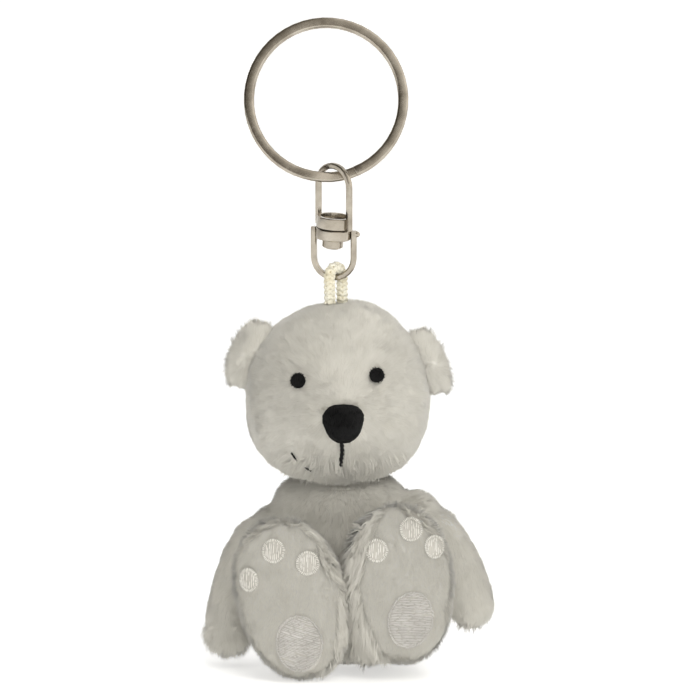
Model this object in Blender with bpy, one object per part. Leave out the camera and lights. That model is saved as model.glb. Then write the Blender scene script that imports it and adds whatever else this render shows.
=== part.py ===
"""Plush bear key ring: a split ring, a two-part swivel, a cord loop and a small sitting bear.

Frame: metres, +Z up, origin in the middle of the flat seat under the torso. The bear faces -Y,
and its own left side is +X. Every dimension below is in millimetres and every angle in degrees;
MM turns millimetres into metres when a mesh is made.
"""

import math
from functools import partial

import bmesh
import bpy
from mathutils import Matrix, Vector
from mathutils.bvhtree import BVHTree

MM = 0.001
SIDES = {"left": 1, "right": -1}

# --- fabric ---------------------------------------------------------------------------------
FABRIC = 0.8            # thickness of the plush backing cloth
SEAM_GAP = 0.3          # space left between two pieces that are sewn or pressed together
STUFFING_INSET = FABRIC + 0.4

# --- split ring -----------------------------------------------------------------------------
RING_OUTER = 28.0
RING_WIRE_RADIAL = 1.75
RING_WIRE_AXIAL = 0.9
RING_COIL_GAP = 0.05
RING_WIRE_CHAMFER = 0.28
RING_STEP_ANGLE = 7.0
RING_FRONT_END_ANGLE = -68.0        # free end of the front coil, from +X towards +Z
RING_JOG_ANGLES = (265.0, 275.0)    # where the wire steps from the front coil to the back one
RING_BACK_END_ANGLE = 608.0
RING_CENTRE = Vector((-3.2, -1.4, 96.6))
RING_LEAN = 5.0                     # top of the ring leans back

# --- swivel ---------------------------------------------------------------------------------
SWIVEL_CENTRE = Vector((-1.9, -1.2, 74.85))     # middle of the gap between the two collars
SWIVEL_LEAN = 10.0                  # top of the swivel leans forward
COLLAR_TILT = 4.0                   # the collars slope down towards +X
COLLAR_GAP = 0.15
COLLAR_RADIUS = 3.05
COLLAR_BORE = 1.45
COLLAR_CHAMFER = 0.12
UPPER_COLLAR_HEIGHT = 2.0
UPPER_COLLAR_FLOOR = 0.8
UPPER_COLLAR_RECESS = 2.45
LOWER_COLLAR_HEIGHT = 1.75
COLLAR_SEGMENTS = 28
BAIL_WIRE = 1.0
BAIL_WIRE_CHAMFER = 0.22
BAIL_SPACING = 6.95                 # between the centrelines of a bail's two legs
UPPER_BAIL_REACH = 11.3             # from the gap to the outside of the bend
LOWER_BAIL_REACH = 9.2
UPPER_BAIL_YAW = -41.0
LOWER_BAIL_YAW = -12.0
WIRE_END_BEAD = Vector((0.62, 0.42, 0.55))
RIVET_SHANK = 1.22
RIVET_HEAD = 2.2
RIVET_HEAD_HEIGHT = 0.55
RIVET_TAIL = 1.8
RIVET_TAIL_HEIGHT = 1.55
RIVET_CLEARANCE = 0.12

# --- cord -----------------------------------------------------------------------------------
CORD_RADIUS = 1.0
CORD_SPACING = 4.6                  # between the two strands
CORD_YAW = 50.0
CORD_TOP_ABOVE_WIRE = 1.72          # cord centreline over the centre of the bail wire
CORD_BASE = Vector((-0.6, 0.7, 62.1))
CORD_SIDES = 10
KNOT_RADII = Vector((2.6, 2.3, 2.4))
KNOT_DEPTH = 5.0                    # knot centre below the crown
TAIL_DEPTH = 1.5                    # where the knot's own strands start below the crown
POCKET_RADIUS = 3.6
CORD_SLOT_CLEARANCE = 0.45

# --- head -----------------------------------------------------------------------------------
HEAD_CENTRE = Vector((-1.3, 0.0, 45.3))
HEAD_HALF_WIDTH = 16.0
HEAD_UP = 16.8
HEAD_DOWN = 14.5
HEAD_FRONT = 13.0
HEAD_BACK = 13.5
HEAD_UPPER_FULLNESS = 2.15          # superellipse exponents seen from the front
HEAD_LOWER_FULLNESS = 2.5
MUZZLE_REACH = 4.2
MUZZLE_BELOW_CENTRE = 4.0
MUZZLE_SPREAD = 5.2
GUSSET_START = -8.0                 # angle of the nose end, from -Y towards +Z
GUSSET_END = 262.0
GUSSET_HALF_WIDTHS = (3.2, 6.6, 5.0)    # at the nose, over the crown, at the nape
GUSSET_STEPS = 22
CHIN_STEPS = 7
SIDE_PANEL_BANDS = 6
NECK_CENTRE = Vector((-0.8, 0.8, 30.55))
NECK_HOLE = 6.4

# --- face -----------------------------------------------------------------------------------
EYE_RADIUS = 1.2
EYE_PLACES = {"left": (5.2, 50.5), "right": (-7.7, 49.6)}
NOSE_PLACE = (-0.3, 42.9)
NOSE_HALF_WIDTH = 3.1
NOSE_HALF_HEIGHT = 3.0
NOSE_DOME = 1.3
MOUTH_LENGTH = 4.2
MOUTH_THREAD = 0.36
STITCH_GAP = 0.28                   # space between embroidery and the cloth it is sewn to
STITCH_EDGE = 0.15
EYE_DOME = 0.35
PAD_DOME = 0.14

# --- ears -----------------------------------------------------------------------------------
EAR_PLACES = {"left": (13.0, 50.9), "right": (-15.0, 52.2)}     # seam centre, as x and z
EAR_Y = 0.5
EAR_OUTWARD = {"left": 2.3, "right": 2.7}
EAR_INWARD = 1.0
EAR_HALF_LENGTH = 6.0
EAR_HALF_THICKNESS = 1.9
EAR_LEAN = 22.0                     # seam direction from vertical, tops towards each other
EAR_OFFSET = 2.2                   # hinge line outside the head's side

# --- torso ----------------------------------------------------------------------------------
# height, half width, half depth, y of the middle
TORSO_ROWS = (
    (0.0, 5.6, 0.0, -3.0),
    (0.0, 7.0, 5.4, -0.2),
    (0.9, 9.6, 7.0, 0.4),
    (4.0, 12.0, 8.6, 1.6),
    (10.0, 12.6, 9.4, 2.2),
    (17.0, 12.2, 9.2, 2.2),
    (22.5, 12.0, 8.8, 1.8),
    (26.0, 11.5, 8.2, 1.4),
    (28.2, 10.4, 7.4, 1.1),
    (29.4, 7.6, 6.4, 0.8),
)
TORSO_COLUMNS = 12
TORSO_SEAM_GAP = 0.5    # between the front and back cloth
TORSO_BASE_ROUND = 4.0
TORSO_ROUNDNESS = 2.15
NECK_THREAD_RADIUS = 6.3
NECK_THREAD = 0.3

# --- arms -----------------------------------------------------------------------------------
SHOULDERS = {"left": (13.7, 0.8, 24.4), "right": (-13.6, 0.8, 22.6)}
# outward and downward from the shoulder, forward shift, radius
ARM_ROWS = (
    (0.5, 0.0, 0.0, 3.7),
    (1.8, 0.9, 0.2, 4.1),
    (3.5, 4.4, 1.2, 4.6),
    (5.2, 9.6, 2.8, 4.7),
    (6.4, 14.6, 4.2, 4.6),
    (6.9, 18.4, 5.0, 4.2),
)
ARM_HINGE_RISE = 2.6
ARM_FLATTEN = 0.86                  # front-to-back radius over sideways radius
ARM_TIP = 3.2                       # length of the rounded hand beyond the last row
ARM_SPREAD = {"left": 7.0, "right": 0.0}
ARM_SWING = {"left": 20.0, "right": 0.0}    # backwards at rest
ARM_LENGTH = {"left": 0.88, "right": 0.96}
ARM_SIDES = 14

# --- legs -----------------------------------------------------------------------------------
# distance in front of the hip, half width, half height
LEG_ROWS = (
    (0.4, 3.6, 3.6),
    (1.6, 5.6, 5.8),
    (3.6, 6.8, 7.4),
    (5.6, 7.4, 9.7),
    (7.6, 8.4, 12.2),
    (9.2, 8.7, 13.4),
    (10.4, 8.85, 13.75),
)
SOLE_ROWS = (
    (10.8, 8.8, 13.55),
    (12.0, 8.2, 12.5),
    (12.9, 5.8, 9.5),
    (13.4, 2.9, 5.0),
)
SOLE_POLE = 13.6
LEG_BACK = -0.2
HIP_HEIGHT = 7.4                    # hip axis above the underside of the leg
SOLE_MIDDLE = SOLE_ROWS[0][2] - HIP_HEIGHT
LEG_HIP_ROUND = 5.0
LEG_SIDES = 18
LEG_ROUNDNESS = 2.15
HIP_Y = -8.0
HIPS = {"left": (9.25, 2.6), "right": (-6.9, 0.4)}       # x of the hip, height of the heel
LEG_ROLL = {"left": -2.0, "right": -15.0}
LEG_SCALE = {"left": 1.0, "right": 1.03}
LEG_YAW = {"left": 1.0, "right": -2.0}
# pads on each sole: across (+X) and up from its middle
PAD_PLACES = {
    "left": {
        "toe_pad_inner": (-3.7, 6.3),
        "toe_pad_middle": (2.0, 9.6),
        "toe_pad_outer": (5.7, 6.5),
        "heel_pad": (1.4, -5.4),
    },
    "right": {
        "toe_pad_inner": (4.2, 5.2),
        "toe_pad_middle": (-0.5, 8.5),
        "toe_pad_outer": (-5.5, 5.0),
        "heel_pad": (-0.4, -7.0),
    },
}
TOE_PAD_RADII = (1.9, 2.0)
OUTER_TOE_PAD_RADII = (1.5, 2.0)
HEEL_PAD_RADII = (3.7, 4.8)
HEEL_PAD_LEAN = {"left": 14.0, "right": 2.0}    # top towards +X

# --- colours --------------------------------------------------------------------------------
PLUSH_WHITE = (0.60, 0.58, 0.52)
SOLE_WHITE = (0.47, 0.45, 0.40)
FIBRE_WHITE = (0.80, 0.80, 0.78)
THREAD_WHITE = (0.68, 0.66, 0.61)
THREAD_BLACK = (0.008, 0.008, 0.008)
CORD_WHITE = (0.80, 0.77, 0.62)
NICKEL = (0.33, 0.29, 0.24)


def clear_scene():
    for obj in list(bpy.data.objects):
        bpy.data.objects.remove(obj, do_unlink=True)


def make_material(name, colour, roughness, metallic=0.0):
    material = bpy.data.materials.new(name)
    material.use_nodes = True
    shader = material.node_tree.nodes["Principled BSDF"]
    shader.inputs["Base Color"].default_value = (*colour, 1.0)
    shader.inputs["Roughness"].default_value = roughness
    shader.inputs["Metallic"].default_value = metallic
    return material


def add_pivot(name, place, parent=None):
    """Empty on a joint axis; the pieces that move with the joint hang from it."""
    pivot = bpy.data.objects.new(name, None)
    pivot.empty_display_size = 3.0 * MM
    bpy.context.scene.collection.objects.link(pivot)
    pivot["place"] = list(place)
    attach(pivot, parent)
    pivot.location = Vector(place) * MM
    return pivot


def attach(obj, pivot):
    """Parent to a pivot without moving; pivots are never turned, only placed."""
    if pivot is None:
        return
    obj.parent = pivot
    obj.matrix_parent_inverse = Matrix.Translation(-Vector(pivot["place"]) * MM)


def add_object(name, bm, material, pivot=None, frame=None, sharp_angle=50.0):
    """Turn a bmesh in millimetres into a named object in metres."""
    if frame is not None:
        bm.transform(frame)
    bm.transform(Matrix.Scale(MM, 4))
    mesh = bpy.data.meshes.new(name)
    bm.to_mesh(mesh)
    bm.free()
    mesh.materials.append(material)
    mesh.shade_smooth()
    mesh.set_sharp_from_angle(angle=math.radians(sharp_angle))
    obj = bpy.data.objects.new(name, mesh)
    bpy.context.scene.collection.objects.link(obj)
    attach(obj, pivot)
    return obj


def add_cutter(name, bm, pivot=None):
    cutter = add_object(name, bm, make_material(name, (1.0, 0.2, 0.2), 0.5), pivot)
    cutter.hide_render = True
    cutter.display_type = "WIRE"
    return cutter


def boolean(obj, cutter, operation="DIFFERENCE"):
    modifier = obj.modifiers.new(cutter.name, "BOOLEAN")
    modifier.operation = operation
    modifier.solver = "EXACT"
    modifier.object = cutter


# --- mesh builders --------------------------------------------------------------------------

def skin(rows, wrap=True, start=None, end=None, loop=False):
    """Quads between rows of points; start and end are poles, or "flat" for a plain cap."""
    bm = bmesh.new()
    verts = [[bm.verts.new(point) for point in row] for row in rows]
    pairs = list(zip(verts, verts[1:]))
    if loop:
        pairs.append((verts[-1], verts[0]))
    count = len(verts[0])
    for first, second in pairs:
        for i in range(count if wrap else count - 1):
            j = (i + 1) % count
            bm.faces.new((first[i], first[j], second[j], second[i]))
    close_row(bm, verts[0], start, wrap)
    close_row(bm, verts[-1], end, wrap)
    bmesh.ops.recalc_face_normals(bm, faces=bm.faces)
    return bm


def close_row(bm, row, cap, wrap):
    if cap is None:
        return
    if cap == "flat":
        bm.faces.new(row)
        return
    pole = bm.verts.new(cap)
    for i in range(len(row) if wrap else len(row) - 1):
        bm.faces.new((row[i], row[(i + 1) % len(row)], pole))


def tube(points, section, normal):
    """Sweep a section along a path; normal is roughly square to the path everywhere."""
    rows = []
    for i, point in enumerate(points):
        before = points[max(i - 1, 0)]
        after = points[min(i + 1, len(points) - 1)]
        tangent = (after - before).normalized()
        side = tangent.cross(normal).normalized()
        up = side.cross(tangent)
        rows.append([point + side * sx + up * sy for sx, sy in section])
    return skin(rows, start="flat", end="flat")


def chamfered_section(width, height, chamfer):
    half_w = width / 2
    half_h = height / 2
    corners = []
    for sx, sy in ((1, 1), (-1, 1), (-1, -1), (1, -1)):
        near = (sx * half_w, sy * (half_h - chamfer))
        far = (sx * (half_w - chamfer), sy * half_h)
        corners += [near, far] if sx == sy else [far, near]
    return corners


def round_section(radius, sides):
    turns = [math.tau * i / sides for i in range(sides)]
    return [(radius * math.cos(t), radius * math.sin(t)) for t in turns]


def lathe(profile, segments, closed=False):
    """Turn (radius, height) points about Z; a radius of zero becomes a pole."""
    start = Vector((0, 0, profile[0][1])) if profile[0][0] == 0 else None
    end = Vector((0, 0, profile[-1][1])) if profile[-1][0] == 0 else None
    rows = []
    for radius, height in profile:
        if radius > 0:
            ring = round_section(radius, segments)
            rows.append([Vector((x, y, height)) for x, y in ring])
    return skin(rows, start=start, end=end, loop=closed)


def superellipse(half_x, half_z, exponent, turn):
    """Point of a rounded outline at an angle."""
    cos_t = math.cos(turn)
    sin_t = math.sin(turn)
    x = half_x * math.copysign(abs(cos_t) ** (2 / exponent), cos_t)
    z = half_z * math.copysign(abs(sin_t) ** (2 / exponent), sin_t)
    return x, z


def ellipsoid(radii, centre, columns=12, rows=7):
    bands = []
    for i in range(1, rows):
        latitude = math.pi * i / rows - math.pi / 2
        ring = round_section(math.cos(latitude), columns)
        height = math.sin(latitude)
        bands.append([centre + Vector((x * radii.x, y * radii.y, height * radii.z)) for x, y in ring])
    bottom = centre - Vector((0, 0, radii.z))
    top = centre + Vector((0, 0, radii.z))
    return skin(bands, start=bottom, end=top)


def turned(axis, degrees):
    return Matrix.Rotation(math.radians(degrees), 4, axis)


# --- split ring and swivel --------------------------------------------------------------------

def ring_frame():
    return Matrix.Translation(RING_CENTRE) @ turned("X", -RING_LEAN)


def ring_bottom():
    """Middle of the ring's wire where the upper bail hangs on it."""
    return ring_frame() @ Vector((0, 0, -(RING_OUTER - RING_WIRE_RADIAL) / 2))


def ring_wire_path():
    """Two flat coils about Y, with a short step between them."""
    radius = (RING_OUTER - RING_WIRE_RADIAL) / 2
    pitch = RING_WIRE_AXIAL + RING_COIL_GAP
    jog_start, jog_end = RING_JOG_ANGLES
    steps = round((RING_BACK_END_ANGLE - RING_FRONT_END_ANGLE) / RING_STEP_ANGLE)
    path = []
    for i in range(steps + 1):
        angle = RING_FRONT_END_ANGLE + (RING_BACK_END_ANGLE - RING_FRONT_END_ANGLE) * i / steps
        shift = min(max((angle - jog_start) / (jog_end - jog_start), 0.0), 1.0)
        turn = math.radians(angle)
        path.append(Vector((radius * math.cos(turn), pitch * (shift - 0.5), radius * math.sin(turn))))
    return path


def build_split_ring(nickel):
    section = chamfered_section(RING_WIRE_RADIAL, RING_WIRE_AXIAL, RING_WIRE_CHAMFER)
    wire = tube(ring_wire_path(), section, Vector((0, 1, 0)))
    add_object("split_ring", wire, nickel, frame=ring_frame())


def swivel_frame(yaw=0.0):
    lean = Matrix.Translation(SWIVEL_CENTRE) @ turned("X", SWIVEL_LEAN)
    return lean @ turned("Z", yaw)


def collar_frame():
    return Matrix.Translation(SWIVEL_CENTRE) @ turned("X", SWIVEL_LEAN) @ turned("Y", COLLAR_TILT)


def collar_plane_height(x, yaw):
    """Height of the tilted gap plane, in a bail's own frame, at a leg's x."""
    return -x * math.cos(math.radians(yaw)) * math.tan(math.radians(COLLAR_TILT))


def bail_path(reach, direction, yaw):
    """U of wire: two legs that start beside the collar and a half-round bend."""
    radius = BAIL_SPACING / 2
    bend_height = reach - BAIL_WIRE / 2 - radius
    start = COLLAR_GAP / 2 + 0.08
    left = direction * collar_plane_height(-radius, yaw) + start
    right = direction * collar_plane_height(radius, yaw) + start
    path = [Vector((-radius, 0, left)), Vector((-radius, 0, bend_height * 0.6))]
    bend_steps = 12
    for i in range(bend_steps + 1):
        turn = math.pi * (1 - i / bend_steps)
        path.append(Vector((radius * math.cos(turn), 0, bend_height + radius * math.sin(turn))))
    path += [Vector((radius, 0, bend_height * 0.6)), Vector((radius, 0, right))]
    return [Vector((p.x, p.y, direction * p.z)) for p in path]


def upper_collar():
    base = COLLAR_GAP / 2
    top = base + UPPER_COLLAR_HEIGHT
    floor = base + UPPER_COLLAR_FLOOR
    profile = [
        (COLLAR_BORE, base),
        (COLLAR_RADIUS - COLLAR_CHAMFER, base),
        (COLLAR_RADIUS, base + COLLAR_CHAMFER),
        (COLLAR_RADIUS, top - COLLAR_CHAMFER),
        (COLLAR_RADIUS - COLLAR_CHAMFER, top),
        (UPPER_COLLAR_RECESS, top),
        (UPPER_COLLAR_RECESS, floor),
        (COLLAR_BORE, floor),
    ]
    return lathe(profile, COLLAR_SEGMENTS, closed=True)


def lower_collar():
    top = -COLLAR_GAP / 2
    base = top - LOWER_COLLAR_HEIGHT
    profile = [
        (COLLAR_BORE, top),
        (COLLAR_RADIUS - COLLAR_CHAMFER, top),
        (COLLAR_RADIUS, top - COLLAR_CHAMFER),
        (COLLAR_RADIUS, base + COLLAR_CHAMFER),
        (COLLAR_RADIUS - COLLAR_CHAMFER, base),
        (COLLAR_BORE, base),
    ]
    return lathe(profile, COLLAR_SEGMENTS, closed=True)


def build_bail(name, reach, direction, yaw, collar, nickel, pivot):
    """A stamped swivel half: the collar with its U of wire joined on."""
    section = chamfered_section(BAIL_WIRE, BAIL_WIRE, BAIL_WIRE_CHAMFER)
    wire = tube(bail_path(reach, direction, yaw), section, Vector((0, 1, 0)))
    wire.transform(swivel_frame(yaw))
    bail = add_object(name, wire, nickel, pivot)
    collar.transform(collar_frame())
    boolean(bail, add_cutter(name + "_collar", collar, pivot), "UNION")
    return bail


def build_wire_end(bail, pivot):
    """The lower bail's wire ends in a small bead beside its collar."""
    radius = BAIL_SPACING / 2
    slope = collar_plane_height(radius + WIRE_END_BEAD.x, LOWER_BAIL_YAW)
    drop = COLLAR_GAP / 2 + WIRE_END_BEAD.z + 0.05 - slope
    place = Vector((radius + BAIL_WIRE / 2, 0, -drop))
    bead = ellipsoid(WIRE_END_BEAD, place, columns=10, rows=6)
    bead.transform(swivel_frame(LOWER_BAIL_YAW))
    boolean(bail, add_cutter("wire_end_bead", bead, pivot), "UNION")


def build_rivet(nickel, pivot):
    head_base = COLLAR_GAP / 2 + UPPER_COLLAR_FLOOR + RIVET_CLEARANCE
    tail_top = -COLLAR_GAP / 2 - LOWER_COLLAR_HEIGHT - RIVET_CLEARANCE
    profile = [
        (0.0, head_base + RIVET_HEAD_HEIGHT),
        (RIVET_HEAD * 0.8, head_base + RIVET_HEAD_HEIGHT * 0.85),
        (RIVET_HEAD, head_base + RIVET_HEAD_HEIGHT * 0.4),
        (RIVET_HEAD, head_base),
        (RIVET_SHANK, head_base),
        (RIVET_SHANK, tail_top),
        (RIVET_TAIL, tail_top),
        (RIVET_TAIL, tail_top - RIVET_TAIL_HEIGHT + 0.25),
        (RIVET_TAIL - 0.35, tail_top - RIVET_TAIL_HEIGHT),
        (0.0, tail_top - RIVET_TAIL_HEIGHT),
    ]
    add_object("swivel_rivet", lathe(profile, 20), nickel, pivot, frame=collar_frame())


# --- cord -------------------------------------------------------------------------------------

def bail_bottom():
    """Centre of the lower bail's wire at the middle of its bend."""
    return swivel_frame() @ Vector((0, 0, -(LOWER_BAIL_REACH - BAIL_WIRE / 2)))


def cord_directions():
    yaw = math.radians(CORD_YAW)
    along = Vector((math.cos(yaw), math.sin(yaw), 0))
    across = Vector((-math.sin(yaw), math.cos(yaw), 0))
    return along, across


def build_cord_loop(cord, pivot):
    """An arch over the bail wire with two strands down to the crown."""
    along, across = cord_directions()
    radius = CORD_SPACING / 2
    apex = bail_bottom() + Vector((0.3, 0, CORD_TOP_ABOVE_WIRE))
    middle = apex - Vector((0, 0, radius))
    strand_steps = 4
    arch_steps = 12
    path = []
    for i in range(strand_steps):
        path.append(CORD_BASE.lerp(middle, i / strand_steps) - along * radius)
    for i in range(arch_steps + 1):
        turn = math.pi * (1 - i / arch_steps)
        rise = Vector((0, 0, radius * math.sin(turn)))
        path.append(middle + along * radius * math.cos(turn) + rise)
    for i in reversed(range(strand_steps)):
        path.append(CORD_BASE.lerp(middle, i / strand_steps) + along * radius)
    strand = tube(path, round_section(CORD_RADIUS, CORD_SIDES), across)
    add_object("cord_loop", strand, cord, pivot)


def build_cord_knot(cord, pivot):
    """The same cord inside the head: two short tails tied in a knot."""
    along, across = cord_directions()
    radius = CORD_SPACING / 2
    knot_centre = CORD_BASE - Vector((0, 0, KNOT_DEPTH))
    knot = add_object("cord_knot", ellipsoid(KNOT_RADII, knot_centre), cord, pivot)
    for side in (-1, 1):
        top = CORD_BASE - Vector((0, 0, TAIL_DEPTH)) + along * radius * side
        foot = knot_centre + along * radius * 0.4 * side
        tail = tube([top, foot], round_section(CORD_RADIUS * 0.95, CORD_SIDES), across)
        boolean(knot, add_cutter(f"cord_tail_{side + 1}", tail, pivot), "UNION")


# --- head -------------------------------------------------------------------------------------

def head_point(phi, alpha, inset=0.0):
    """Point of the head: phi turns about X from -Y towards +Z, alpha tips towards +X."""
    cos_p = math.cos(phi)
    sin_p = math.sin(phi)
    half_y = (HEAD_FRONT if cos_p > 0 else HEAD_BACK) - inset
    half_z = (HEAD_UP if sin_p > 0 else HEAD_DOWN) - inset
    lowness = max(-sin_p, 0.0)
    fullness = HEAD_UPPER_FULLNESS + (HEAD_LOWER_FULLNESS - HEAD_UPPER_FULLNESS) * lowness
    reach = ((cos_p / half_y) ** 2 + (sin_p / half_z) ** 2) ** -0.5
    narrowing = (1 - abs(math.sin(alpha)) ** fullness) ** (1 / fullness)
    x = (HEAD_HALF_WIDTH - inset) * math.sin(alpha)
    y = -cos_p * reach * narrowing
    z = sin_p * reach * narrowing
    if y < 0:
        spread = (x * x + (z + MUZZLE_BELOW_CENTRE) ** 2) / (2 * MUZZLE_SPREAD ** 2)
        y -= MUZZLE_REACH * math.exp(-spread) * min(-y / 4.0, 1.0)
    return HEAD_CENTRE + Vector((x, y, z))


def gusset_half_angle(phi_degrees):
    """Half width of the centre panel as an angle: narrow at the nose, wide over the crown."""
    nose, crown, nape = GUSSET_HALF_WIDTHS
    if phi_degrees < 90:
        share = (phi_degrees - GUSSET_START) / (90 - GUSSET_START)
        half_width = nose + (crown - nose) * math.sin(share * math.pi / 2)
    else:
        share = (phi_degrees - 90) / (GUSSET_END - 90)
        half_width = crown + (nape - crown) * share
    return math.asin(half_width / HEAD_HALF_WIDTH)


def gusset_turns():
    """Angles from the nose over the crown to the nape."""
    span = GUSSET_END - GUSSET_START
    return [GUSSET_START + span * i / GUSSET_STEPS for i in range(GUSSET_STEPS + 1)]


def build_head_gusset(plush, pivot, neck_cutter):
    """Centre panel: each row is a closed band of the outer and the inner face."""
    shares = (-1.0, -0.5, 0.0, 0.5, 1.0)
    rows = []
    for phi in gusset_turns():
        half = gusset_half_angle(phi)
        turn = math.radians(phi)
        outer = [head_point(turn, half * share) for share in shares]
        inner = [head_point(turn, half * share, FABRIC) for share in reversed(shares)]
        rows.append(outer + inner)
    gusset = add_object("head_gusset", skin(rows, start="flat", end="flat"), plush, pivot)
    boolean(gusset, neck_cutter)
    boolean(gusset, add_cutter("cord_slot", cord_slot(), pivot))


def cord_slot():
    """Long hole over the crown that both strands pass through, with room to flex."""
    along, across = cord_directions()
    radius = CORD_RADIUS + CORD_SLOT_CLEARANCE
    half_length = CORD_SPACING / 2
    outline = []
    for turn in range(-90, 271, 30):
        end = 1 if turn <= 90 else -1
        angle = math.radians(turn)
        offset = along * (radius * math.cos(angle) + end * half_length)
        outline.append(CORD_BASE + offset + across * radius * math.sin(angle))
    rise = Vector((0, 0, 4.0))
    return skin([[p - rise for p in outline], [p + rise for p in outline]], start="flat", end="flat")


def side_panel_edge(phi_degrees):
    """Where a side panel starts: beside the gusset, or on the chin seam under the nose."""
    margin = SEAM_GAP / 2 / HEAD_HALF_WIDTH
    if GUSSET_START <= phi_degrees <= GUSSET_END:
        return gusset_half_angle(phi_degrees) + margin
    return margin


def build_head_side(side, plush, pivot, neck_cutter):
    """Side panel: outer face from the pole to the seam, then the inner face back to the pole."""
    sign = SIDES[side]
    chin_start = GUSSET_START - math.degrees(SEAM_GAP / HEAD_FRONT)
    chin_span = chin_start + 360 - GUSSET_END
    phis = gusset_turns()
    phis += [GUSSET_END + chin_span * i / CHIN_STEPS for i in range(1, CHIN_STEPS + 1)]
    outer = [head_side_ring(phis, k / SIDE_PANEL_BANDS, sign, 0.0) for k in range(SIDE_PANEL_BANDS)]
    inner = [head_side_ring(phis, k / SIDE_PANEL_BANDS, sign, FABRIC) for k in range(SIDE_PANEL_BANDS)]
    poles = [head_point(0.0, math.pi / 2 * sign, inset) for inset in (0.0, FABRIC)]
    panel = skin(outer[::-1] + inner, start=poles[0], end=poles[1])
    obj = add_object(f"head_side_{side}", panel, plush, pivot)
    boolean(obj, neck_cutter)


def head_side_ring(phis, share, sign, inset):
    """Ring around a side panel, at a share of the way from its seam to its pole."""
    ring = []
    for phi in phis:
        edge = side_panel_edge(phi)
        alpha = edge + (math.pi / 2 - edge) * share
        ring.append(head_point(math.radians(phi), alpha * sign, inset))
    return ring


def build_head_stuffing(fibre, pivot):
    rows = []
    row_count = 10
    for k in range(1, row_count):
        alpha = math.pi * k / row_count - math.pi / 2
        phis = [math.tau * i / 18 for i in range(18)]
        rows.append([head_point(phi, alpha, STUFFING_INSET) for phi in phis])
    poles = [head_point(0.0, end * math.pi / 2, STUFFING_INSET) for end in (-1, 1)]
    body = skin(rows, start=poles[0], end=poles[1])
    stuffing = add_object("head_stuffing", body, fibre, pivot)
    profile = [(0, 6.0), (POCKET_RADIUS, 6.0), (POCKET_RADIUS, -KNOT_DEPTH - 3.4), (0, -KNOT_DEPTH - 3.4)]
    pocket = lathe(profile, 14)
    pocket.transform(Matrix.Translation(CORD_BASE))
    boolean(stuffing, add_cutter("knot_pocket", pocket, pivot))


def head_surface():
    """Search tree of the outer face of the head, for laying embroidery on it."""
    rows = []
    for k in range(1, 24):
        alpha = math.pi * k / 24 - math.pi / 2
        rows.append([head_point(math.tau * i / 48, alpha) for i in range(48)])
    bm = skin(rows, start=head_point(0.0, -math.pi / 2), end=head_point(0.0, math.pi / 2))
    tree = BVHTree.FromBMesh(bm)
    bm.free()
    return tree


def lay_on(tree, x, z, lift):
    """Point over the front of a surface, lifted along its normal."""
    place, normal, _, _ = tree.ray_cast(Vector((x, -60.0, z)), Vector((0, 1, 0)))
    if normal.y > 0:
        normal.negate()
    return place + normal * lift


def patch(tree, centre, outline, dome, edge=STITCH_EDGE, sides=14, bands=3):
    """Raised patch laid on a surface; outline gives the rim offset at an angle."""
    rows = []
    for band in range(1, bands + 1):
        share = band / bands
        lift = STITCH_GAP + edge + dome * (1 - share * share)
        rows.append(patch_ring(tree, centre, outline, share, lift, sides))
    for band in range(bands, 0, -1):
        rows.append(patch_ring(tree, centre, outline, band / bands, STITCH_GAP, sides))
    top = lay_on(tree, *centre, STITCH_GAP + edge + dome)
    bottom = lay_on(tree, *centre, STITCH_GAP)
    return skin(rows, start=top, end=bottom)


def patch_ring(tree, centre, outline, share, lift, sides):
    ring = []
    for i in range(sides):
        dx, dz = outline(math.tau * i / sides)
        ring.append(lay_on(tree, centre[0] + dx * share, centre[1] + dz * share, lift))
    return ring


def nose_outline(turn):
    """Rounded triangle, wide at the top."""
    x, z = superellipse(NOSE_HALF_WIDTH, NOSE_HALF_HEIGHT, 2.7, turn)
    taper = 1.0 + 0.24 * z / NOSE_HALF_HEIGHT
    return x * min(taper, 1.08), z


def build_face(black, pivot):
    tree = head_surface()
    for side, place in EYE_PLACES.items():
        eye = patch(tree, place, partial(superellipse, EYE_RADIUS, EYE_RADIUS, 2.0), EYE_DOME)
        add_object(f"eye_{side}", eye, black, pivot)
    nose = patch(tree, NOSE_PLACE, nose_outline, NOSE_DOME, edge=0.3, sides=20, bands=4)
    add_object("nose", nose, black, pivot)
    build_mouth(tree, black, pivot)


def build_mouth(tree, black, pivot):
    """One twisted thread straight down from the nose."""
    top = NOSE_PLACE[1] - NOSE_HALF_HEIGHT - 0.45
    steps = 6
    path = []
    for i in range(steps + 1):
        z = top - MOUTH_LENGTH * i / steps
        path.append(lay_on(tree, NOSE_PLACE[0], z, MOUTH_THREAD + STITCH_GAP))
    thread = tube(path, round_section(MOUTH_THREAD, 8), Vector((1, 0, 0)))
    add_object("mouth_stitch", thread, black, pivot)


# --- ears -------------------------------------------------------------------------------------

def ear_hinge(side):
    """Middle of the seam that an ear folds about."""
    x, z = EAR_PLACES[side]
    outward = Vector((SIDES[side] * math.cos(math.radians(EAR_LEAN)), 0, math.sin(math.radians(EAR_LEAN))))
    return Vector((x, EAR_Y, z)) + outward * EAR_OFFSET


def build_ear(side, plush, pivot):
    """Front and back cloth of one ear: a D with its rounded straight edge at the head."""
    sign = SIDES[side]
    tip = turned("Y", -EAR_LEAN * sign)
    frame = Matrix.Translation(ear_hinge(side)) @ tip
    for name, facing in (("front", -1), ("back", 1)):
        half = ear_half(side, facing)
        add_object(f"ear_{side}_{name}", half, plush, pivot, frame=frame)


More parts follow.
